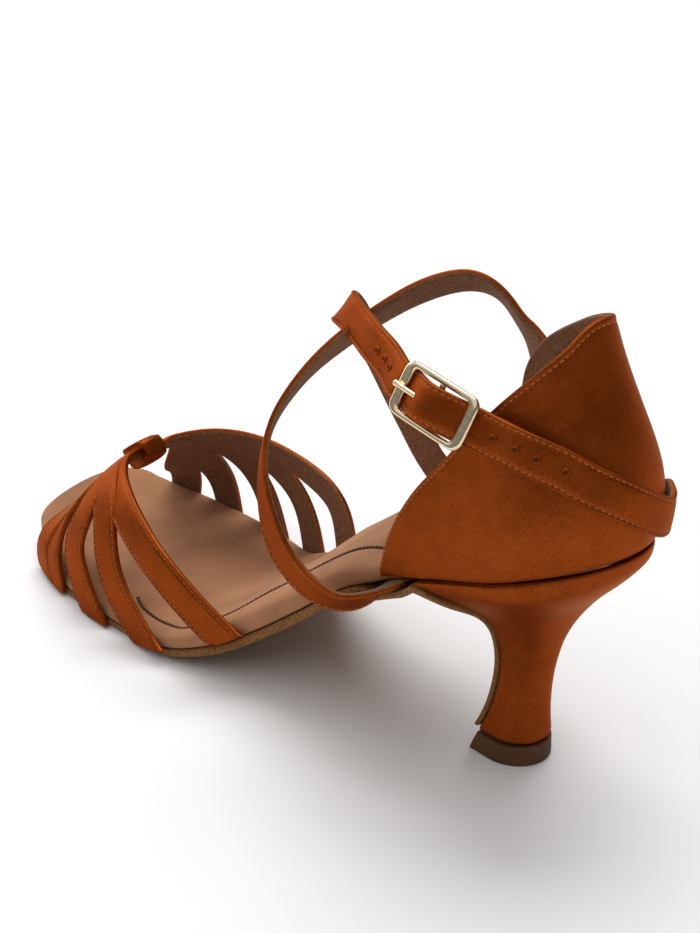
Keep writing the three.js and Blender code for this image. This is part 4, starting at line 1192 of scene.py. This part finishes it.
class SANDAL_OT_footbed(bpy.types.Operator):
    """Makes the padded footbed with its sewn-in sock"""

    bl_idname = "sandal.footbed"
    bl_label = "Footbed"

    def execute(self, context):
        sizes = context.scene.sandal_sizes
        rings = []
        for x in spread(COUNTER_WALL + GAP, SOLE_LENGTH - GAP, FOOTBED_RINGS):
            middle, half = across_at(x)[0], footbed_half(x)
            seam = seam_in(x)
            groove = sizes.sock_groove * seam_share(x)
            steps = [(seam * share, 0) for share in (0, 0.06, 0.16, 0.32, 0.52, 0.75)]
            steps += [(seam - 0.1 * seam, 0), (seam, groove), (seam + 0.1 * seam, 0)]
            steps += [(mixed(seam * 1.1, half, share), 0) for share in (0.2, 0.45, 0.72)]
            side = [(half - step, footbed_top(x, step) - dip) for step, dip in steps]
            plain = [(step - half, footbed_top(x, step)) for step, _ in reversed(steps)]
            top = side + [(0, footbed_top(x, half))] + plain
            under = [(half * share, 0) for share in (-1, -0.97, -0.6, 0, 0.6, 0.97, 1)]
            ring = []
            for out, up in top + under:
                y = middle + out
                ring.append(Vector((x, y, rest_height(x, y) + up)))
            rings.append(ring)
        footbed = skin("footbed", rings)
        subdivided(footbed)
        dressed(footbed, ["suede"], "insole", "insole")
        line = []
        for i in range(SOCK_STEPS + 1):
            x = SOLE_LENGTH * mixed(SOCK_FROM, SOCK_TO, i / SOCK_STEPS)
            y = outline(x, 1) - footbed_inset(x) - seam_in(x)
            up = footbed_top(x, seam_in(x)) - 0.1 * MM
            line.append((Vector((x, y, rest_height(x, y) + up)), Vector((0, 0, 1))))
        spots = stitch_rows(travelled(line), 0, 0, 0, 0, sizes.sock_pitch)
        length = sizes.sock_pitch * SOCK_STITCH_LENGTH
        thread = sizes.stitch_thread * SOCK_STITCH_THREAD
        sewn("sock_stitches", spots, length, thread, "sock_thread", "insole")
        return {"FINISHED"}


class SANDAL_OT_outsole(bpy.types.Operator):
    """Makes the raw suede outsole and its flap down the heel"""

    bl_idname = "sandal.outsole"
    bl_label = "Outsole"

    def execute(self, context):
        upper = [(1, 0.15), (0.99, 0), (0.6, 0), (0, 0), (-0.6, 0), (-0.99, 0), (-1, 0.15), (-1.003, 0.5)]
        lower = [(-1, 0.85), (-0.99, 1), (-0.6, 1), (0, 1), (0.6, 1), (0.99, 1), (1, 0.85), (1.003, 0.5)]
        rings = []
        for x in reversed(spread(HEEL_LENGTH + 0.5 * MM, SOLE_LENGTH, OUTSOLE_RINGS)):
            middle, half = across_at(x)
            half = max(0, half - inset_under_straps(x))
            thickness = mixed(OUTSOLE_BALL, OUTSOLE_WAIST, sole_waist(x / SOLE_LENGTH))
            ring = []
            for share, down in upper + lower:
                y = middle + half * share
                ring.append(Vector((x, y, rest_height(x, y) - GAP - tunnel_drop(x) - thickness * down)))
            rings.append(ring)
        for front_up in FLAP_ROWS:
            lean = eased(front_up, 0.519, 0.716) * 1.2
            away = Vector((math.cos(lean), 0, -math.sin(lean)))
            front = HEEL_LENGTH * heel_front(front_up)
            half = SEAT_HALF_WIDTH * heel_half(front_up) - GAP
            ring = []
            for share, down in upper + lower:
                ring.append(Vector((front, half * share, heel_up(front_up))) + away * (GAP + FLAP * down))
            rings.append(ring)
        outsole = skin("suede_outsole", refined(rings, 2))
        subdivided(outsole)
        dressed(outsole, ["raw_suede"], "outsole", "outsole")
        return {"FINISHED"}


def heel_up(share):
    """Height for a share of the way from the heel tip to the seat."""
    return mixed(TIP_THICKNESS + GAP, SEAT_HEIGHT, share)


def heel_ring(front, back, half, front_height, back_height, inset=0.0):
    """A D-shaped ring of the heel: a nearly flat breast and a round back."""
    straight = HEEL_STRAIGHT
    outlined = [(straight * share, mixed(BREAST_WIDTH, 1, share)) for share in (0, 0.08, 0.3, 0.65, 1)]
    for i in range(1, 15):
        turn = math.pi / 2 * i / 14
        outlined.append((straight + (1 - straight) * math.sin(turn), math.cos(turn)))
    centre = Vector(((front + back) / 2, 0, 0))
    ring = []
    for side in (1, -1):
        part = []
        for behind, out in outlined:
            up = mixed(front_height, back_height, behind)
            point = Vector((front - (front - back) * behind, side * half * out, up))
            inward = Vector((centre.x - point.x, -point.y, 0))
            if inset and inward.length > 0:
                point += inward.normalized() * inset
            part.append(point)
        ring += part if side > 0 else list(reversed(part[:-1]))
    return ring + [mixed(ring[-1], ring[0], share) for share in (0.25, 0.5, 0.75)]


def seat_ring(down, inset):
    """The heel's upper edge under the counter, lowered and drawn in."""
    ring = heel_ring(HEEL_LENGTH, 0, SEAT_HALF_WIDTH, 0, 0)
    placed = []
    for point in ring:
        x = max(point.x, 0)
        if abs(point.x - HEEL_LENGTH) < 1e-7:
            y = point.y / (SEAT_HALF_WIDTH * BREAST_WIDTH) * outline(x, 1)
        else:
            y = 0 if abs(point.y) < 1e-9 else outline(x, 1 if point.y > 0 else -1)
        inward = Vector((HEEL_LENGTH * 0.55 - x, -y, 0)).normalized() * inset
        placed.append(Vector((x, y, rest_height(x, y) - GAP - down)) + inward)
    return placed


class SANDAL_OT_heel(bpy.types.Operator):
    """Makes the satin-covered heel and its tip"""

    bl_idname = "sandal.heel"
    bl_label = "Heel and tip"

    def execute(self, context):
        sizes = context.scene.sandal_sizes
        rings = []
        for front_up, back_up, front, back, half in zip(*HEEL.values()):
            rings.append(
                heel_ring(
                    HEEL_LENGTH * front,
                    HEEL_LENGTH * back,
                    SEAT_HALF_WIDTH * half,
                    heel_up(front_up),
                    heel_up(back_up),
                )
            )
        rings.append(seat_ring(sizes.edge_round, 0))
        rings = refined(rings, 4)
        rings += [seat_ring(sizes.edge_round * 0.3, sizes.edge_round * 0.3), seat_ring(0, sizes.edge_round)]
        heel = skin("heel_cover", rings)
        subdivided(heel)
        dressed(heel, ["satin"], "heel", "heel")

        row = [HEEL[key][0] for key in ("front", "back", "half")]
        upper = [HEEL_LENGTH * row[0], HEEL_LENGTH * row[1], SEAT_HALF_WIDTH * row[2]]
        lower = [TIP_BACK + TIP_LENGTH, TIP_BACK, TIP_HALF_WIDTH]
        rings = []
        for up, inset in TIP_PROFILE:
            front, back, half = (mixed(a, b, up) for a, b in zip(lower, upper))
            height = TIP_THICKNESS * up
            rings.append(heel_ring(front, back, half, height, height, inset * MM))
        tip = skin("heel_tip", rings)
        subdivided(tip)
        dressed(tip, ["rubber"], "top_piece", "top_piece")
        return {"FINISHED"}


class SANDAL_OT_counter(bpy.types.Operator):
    """Makes the enclosed heel: both quarters in one lined wall, sewn along the top line"""

    bl_idname = "sandal.counter"
    bl_label = "Counter"

    def execute(self, context):
        sizes = context.scene.sandal_sizes
        rings, line = [], []
        for n in range(COUNTER_RINGS + 1):
            around = 0.999 * (1 - 2 * n / COUNTER_RINGS)
            top = counter_top(around)
            low = min(sizes.edge_round * 1.4, top * 0.25)
            seam = min(sizes.top_seam, top * 0.3)
            steps = [(0, -0.9 * MM), (low * 0.35, -0.3 * MM), (low, 0)]
            body = top - seam - 0.5 * MM
            steps += [(mixed(low, body, (k + 1) / COUNTER_ROWS), 0) for k in range(COUNTER_ROWS)]
            steps += [(top - seam, -0.28 * MM), (top - seam + 0.5 * MM, 0), (top - 0.4 * MM, -0.02 * MM)]
            steps += [(top - 0.08 * MM, -0.3 * MM), (top, -COUNTER_WALL / 2)]
            inner = [(top - 0.08 * MM, 0.3 * MM - COUNTER_WALL), (top - 0.4 * MM, -COUNTER_WALL)]
            inner += [(mixed(top - MM, 0, k / COUNTER_ROWS), -COUNTER_WALL) for k in range(COUNTER_ROWS + 1)]
            ring = []
            for height, off in steps + inner:
                point = counter_off(around, height, off)
                point.z = max(point.z, rest_height(base_along(around), 0))
                ring.append(point)
            rings.append(ring)
            height = top - seam
            line.append((counter_off(around, height, -0.14 * MM), counter_normal(around, height)))
        satin_rows = 3 + COUNTER_ROWS + 5
        counter = skin("counter_satin", rings, material_of=lambda i, j: 0 if i < satin_rows else 1)
        subdivided(counter)
        dressed(counter, ["satin", "lining"], "heel_counter", "heel_counter")
        spots = stitch_rows(travelled(line), 0, 0, 2 * MM, 2 * MM, sizes.stitch_pitch)
        stitched("counter_stitches", spots, "heel_counter")
        return {"FINISHED"}


class SANDAL_OT_toe_straps(bpy.types.Operator):
    """Makes the five straps on each side of the toes, gathered under the knot"""

    bl_idname = "sandal.toe_straps"
    bl_label = "Toe straps"

    def execute(self, context):
        sizes = context.scene.sandal_sizes
        section = band_section(TOE_STRAP_WIDTH, TOE_STRAP_THICKNESS, sizes.seam)
        straps, spots = [], []
        for n, row in enumerate(TOE_STRAPS):
            order = n % (len(TOE_STRAPS) // 2)
            frames = travelled(toe_strap_stations(row, order))
            last = len(frames) - 1

            def narrow(i):
                return mixed(1, GATHER_SHARE, eased(i / last, 0.45, 1))

            def pleats(i, out):
                depth = PLEAT_DEPTH * eased(i / last, 0.72, 0.97)
                return depth * math.sin(out / TOE_STRAP_WIDTH * 17 + order * 1.7)

            rings = band_rings(frames, section, narrow, pleats)
            rings = self.foot(frames[0][0] - frames[1][0], frames[0][3], rings[0]) + rings
            for ring in rings:
                for point in ring:
                    point.z = max(point.z, self.foot_level(point))
            strap = skin(f"strap_{n}", rings, material_of=satin_on_top(section))
            for kind in ("satin", "lining"):
                strap.data.materials.append(finish(kind))
            straps.append(strap)
            half = TOE_STRAP_WIDTH / 2 - sizes.seam
            rise = TOE_STRAP_THICKNESS * STITCH_RISE

            def gathered(share):
                return mixed(1, GATHER_SHARE, eased(share, 0.5, 1.05))

            for side in (half, -half):
                spots += stitch_rows(frames, side, rise, 0.5 * MM, 4 * MM, sizes.stitch_pitch, gathered)
        spots = [spot for spot in spots if spot[0].z > self.foot_level(spot[0]) + sizes.stitch_thread]
        straps = joined(straps, "toe_straps")
        subdivided(straps)
        dressed(straps, [], "vamp_straps", "vamp_straps")
        stitched("toe_strap_stitches", spots, "vamp_straps")
        return {"FINISHED"}

    def foot_level(self, point):
        """Height that the straps' feet reach beside the sole."""
        return rest_height(point.x, point.y) - WRAP_DEPTH * sole_inset(point.x / SOLE_LENGTH)

    def foot(self, down, face, ring):
        """Rings that carry a strap on down over the sole's edge."""
        wall = Vector((face.x, face.y, 0)).normalized()
        down = (down - wall * down.dot(wall)).normalized()
        carried = []
        for share in (1.0, 0.93, 0.5):
            lower = []
            for point in ring:
                drop = max(point.z - self.foot_level(point), 0.02 * MM)
                lower.append(point + down * drop / max(-down.z, 0.3) * share)
            carried.append(lower)
        return carried


def knot_places():
    """Middle line of the knot from the middle inner strap to the middle outer one, and the way it faces."""
    side_count = len(TOE_STRAPS) // 2
    middle_strap = side_count // 2
    inner = toe_strap_stations(TOE_STRAPS[side_count + middle_strap], middle_strap)
    outer = toe_strap_stations(TOE_STRAPS[middle_strap], middle_strap)
    places = inner[:-1] + outer[::-1]
    middles, faces = [place[0] for place in places], [place[1] for place in places]
    for _ in range(KNOT_EVENING):
        middles, faces = evened(middles), evened(faces)
    return middles, faces, len(inner) - 1


class SANDAL_OT_knot(bpy.types.Operator):
    """Makes the folded satin wrap that holds the toe straps"""

    bl_idname = "sandal.knot"
    bl_label = "Knot"

    def execute(self, context):
        outer_half = KNOT_CORE_WIDTH / 2 + KNOT_WALL + GAP
        outer_up = KNOT_CORE_THICKNESS / 2 + KNOT_WALL + GAP
        middles, faces, centre = knot_places()
        step = (middles[centre + 1] - middles[centre - 1]).length / 2
        rings = []
        for along, size in KNOT_PROFILE:
            place = centre + along * KNOT_LENGTH / step
            n = int(place)
            middle = middles[n].lerp(middles[n + 1], place - n)
            face = faces[n].lerp(faces[n + 1], place - n).normalized()
            side = face.cross(middles[n + 1] - middles[n]).normalized()
            ring = []
            slant = 1.0 + 1.3 * (along + 0.5)
            for k in range(KNOT_AROUND):
                angle = 2 * math.pi * k / KNOT_AROUND
                across = math.copysign(abs(math.cos(angle)) ** 0.5, math.cos(angle)) * outer_half
                up = math.copysign(abs(math.sin(angle)) ** 0.55, math.sin(angle)) * outer_up
                fold = KNOT_WAVE * math.sin(2 * angle + 4 * along)
                crest = slant + 0.12
                fold += KNOT_FOLD * eased(angle, slant, crest) * (1 - eased(angle, crest, slant + 0.9))
                grown = size * (1 + fold / outer_up)
                ring.append(middle + side * across * grown + face * up * grown)
            rings.append(ring)
        knot = skin("knot_wrap", rings)
        subdivided(knot)
        dressed(knot, ["satin"], "knot", "knot")
        return {"FINISHED"}


class SANDAL_OT_ankle_strap(bpy.types.Operator):
    """Makes the long ankle strap with its stitching and punched holes"""

    bl_idname = "sandal.ankle_strap"
    bl_label = "Ankle strap"

    def execute(self, context):
        sizes = context.scene.sandal_sizes
        section = band_section(ANKLE_STRAP_WIDTH, ANKLE_STRAP_THICKNESS, sizes.seam)
        frames = travelled(ankle_stations())
        total = lengths([place[0] for place in frames])

        def narrow(i):
            left = min((total[-1] - total[i]) / (5 * MM), 1)
            return max(math.sqrt(max(0, 1 - (1 - left) ** 2)), 0.12)

        rings = band_rings(frames, section, narrow)
        strap = skin("ankle_strap_satin", rings, material_of=satin_on_top(section))
        subdivided(strap)
        dressed(strap, ["satin", "lining"], "ankle_strap", "ankle_strap")
        half = ANKLE_STRAP_WIDTH / 2 - sizes.seam
        rise = ANKLE_STRAP_THICKNESS * STITCH_RISE
        spots = []
        for side in (half, -half):
            spots += stitch_rows(frames, side, rise, MM, 5 * MM, sizes.stitch_pitch)
        stitched("ankle_strap_stitches", spots, "ankle_strap")
        self.holes(frames, total, sizes.hole)
        return {"FINISHED"}

    def holes(self, frames, total, radius):
        """One rimmed hole, with a dark disc of painted shade in it, is modelled and copied to each place."""
        centre = buckle_axes().translation
        middle = min(range(len(frames)), key=lambda i: (frames[i][0] - centre).length)
        rims, shade_discs = [], []
        for distance in HOLES:
            place = total[middle] + distance * MM
            point, along, across, out = walked(frames, place, 0, 1)[0]
            turn = Matrix((along, across, out)).transposed().to_4x4()
            seat = Matrix.Translation(point + out * ANKLE_STRAP_THICKNESS * 0.6 + TO_FRAME) @ turn
            bpy.ops.object.select_all(action="DESELECT")
            bpy.ops.mesh.primitive_torus_add(
                major_segments=16, minor_segments=8, major_radius=radius, minor_radius=radius * 0.38
            )
            rim = bpy.context.object
            rim.data.transform(seat)
            rims.append(rim)
            # A dark disc of painted shade stands for the shaded inside of the hole
            bpy.ops.mesh.primitive_circle_add(vertices=16, radius=radius * 0.9, fill_type="TRIFAN")
            disc = bpy.context.object
            disc.data.transform(seat)
            shade_discs.append(disc)
        rims = joined(rims, "hole_rims")
        only(rims)
        bpy.ops.object.shade_smooth()
        dressed(rims, ["satin"], "ankle_strap")
        # The holes' dark discs are painted shade, in the dark brown of the sock thread
        dressed(joined(shade_discs, "hole_floors"), ["sock_thread"], "ankle_strap")


class SANDAL_OT_buckle(bpy.types.Operator):
    """Makes the buckle's frame, its prong and the tab that holds it"""

    bl_idname = "sandal.buckle"
    bl_label = "Buckle"

    def execute(self, context):
        sizes = context.scene.sandal_sizes
        axes = buckle_axes()
        seat = Matrix.Translation(TO_FRAME) @ axes
        bpy.ops.object.select_all(action="DESELECT")
        bpy.ops.mesh.primitive_plane_add(size=1)
        frame_ring = context.object
        frame_ring.name = "buckle_gold"
        bpy.ops.object.mode_set(mode="EDIT")
        bpy.ops.mesh.select_all(action="SELECT")
        bpy.ops.transform.resize(value=(BUCKLE_LENGTH, BUCKLE_WIDTH, 1))
        bpy.ops.mesh.bevel(affect="VERTICES", offset=BUCKLE_CORNER, offset_type="OFFSET", segments=5)
        bpy.ops.mesh.select_mode(type="FACE")
        bpy.ops.mesh.select_all(action="SELECT")
        bpy.ops.mesh.inset(thickness=BUCKLE_LONG_BAR)
        window = BUCKLE_LENGTH / 2 - BUCKLE_LONG_BAR
        bpy.ops.transform.resize(value=((BUCKLE_LENGTH / 2 - BUCKLE_SHORT_BAR) / window, 1, 1))
        bpy.ops.mesh.delete(type="FACE")
        bpy.ops.mesh.select_mode(type="VERT")
        bpy.ops.object.mode_set(mode="OBJECT")
        applied(frame_ring, "SOLIDIFY", thickness=BUCKLE_THICKNESS, offset=0)
        rounded(frame_ring, sizes.buckle_round, 4)
        bpy.ops.object.select_all(action="DESELECT")
        bpy.ops.mesh.primitive_cylinder_add(
            vertices=16,
            radius=CENTRE_BAR_RADIUS,
            depth=BUCKLE_WIDTH - BUCKLE_LONG_BAR,
            rotation=(math.pi / 2, 0, 0),
        )
        bar = context.object
        bpy.ops.object.transform_apply(location=True, rotation=True, scale=True)
        rounded(bar, 0.2 * MM, 2)
        frame_ring = joined([frame_ring, bar], "buckle_gold")
        frame_ring.data.transform(seat)
        subdivided(frame_ring)
        dressed(frame_ring, ["gold"], "buckle_frame", "buckle_frame")

        level = BUCKLE_THICKNESS / 2 + GAP + PRONG_RADIUS
        end = BUCKLE_LENGTH / 2 + 0.2 * MM
        path = [Vector((-CENTRE_BAR_RADIUS, 0, level)), Vector((BUCKLE_LENGTH / 4, 0, level + 0.2 * MM))]
        path += [Vector((BUCKLE_LENGTH / 2 - 1.5 * MM, 0, level)), Vector((end, 0, level - 0.1 * MM))]
        rings = []
        for n in range(PRONG_RINGS + 1):
            share = n / PRONG_RINGS
            middle = through(path, share)
            size = PRONG_RADIUS * (1 - 0.12 * share)
            left = end - middle.x
            if left < size:
                size *= math.sqrt(max(0.02, 1 - (1 - left / size) ** 2))
            wide = 1 + 0.35 * eased(share, 0.55, 0.85)
            ring = []
            for k in range(PRONG_AROUND):
                turn = 2 * math.pi * k / PRONG_AROUND
                out = Vector((0, math.cos(turn) * size * wide, math.sin(turn) * size))
                ring.append(axes @ (middle + out))
            rings.append(ring)
        prong = skin("prong_gold", rings)
        subdivided(prong)
        dressed(prong, ["gold"], "buckle_prong", "buckle_prong")

        turned = [
            (
                axes @ Vector((toward * TAB_TURN, 0, out * TAB_TURN)),
                (axes.to_3x3() @ Vector((face_toward, 0, face_out))).normalized(),
            )
            for toward, out, face_toward, face_out in TAB_TURNS
        ]
        frames = travelled(finer(counter_stations(TAB_SEWN_END) + turned, 6))
        section = band_section(TAB_WIDTH, TAB_THICKNESS, sizes.seam)
        tab = skin("tab_satin", band_rings(frames, section), material_of=satin_on_top(section))
        subdivided(tab)
        dressed(tab, ["satin", "lining"], "buckle_tab", "buckle_tab")
        return {"FINISHED"}


PARTS = (
    SANDAL_OT_stage,
    SANDAL_OT_footbed,
    SANDAL_OT_outsole,
    SANDAL_OT_heel,
    SANDAL_OT_counter,
    SANDAL_OT_toe_straps,
    SANDAL_OT_knot,
    SANDAL_OT_ankle_strap,
    SANDAL_OT_buckle,
)


class SANDAL_PT_panel(bpy.types.Panel):
    """Lists the sandal's pieces, sizes and colours"""

    bl_idname = "SANDAL_PT_panel"
    bl_label = "Dance sandal"
    bl_space_type = "VIEW_3D"
    bl_region_type = "UI"
    bl_category = "Sandal"

    def draw(self, context):
        for part in PARTS:
            self.layout.operator(part.bl_idname)
        for group in (context.scene.sandal_sizes, context.scene.sandal_colours):
            for name in group.__annotations__:
                self.layout.prop(group, name)


CLASSES = (SandalSizes, SandalColours, *PARTS, SANDAL_PT_panel)


def register():
    """Adds the panel, the operators and the settings."""
    for part in CLASSES:
        bpy.utils.register_class(part)
    bpy.types.Scene.sandal_sizes = bpy.props.PointerProperty(type=SandalSizes)
    bpy.types.Scene.sandal_colours = bpy.props.PointerProperty(type=SandalColours)


def unregister():
    """Takes them away again."""
    del bpy.types.Scene.sandal_colours
    del bpy.types.Scene.sandal_sizes
    for part in reversed(CLASSES):
        bpy.utils.unregister_class(part)


def main():
    """Builds every piece in order."""
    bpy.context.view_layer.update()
    register()
    bpy.ops.sandal.stage()
    bpy.ops.sandal.footbed()
    bpy.ops.sandal.outsole()
    bpy.ops.sandal.heel()
    bpy.ops.sandal.counter()
    bpy.ops.sandal.toe_straps()
    bpy.ops.sandal.knot()
    bpy.ops.sandal.ankle_strap()
    bpy.ops.sandal.buckle()


if __name__ == "__main__":
    main()
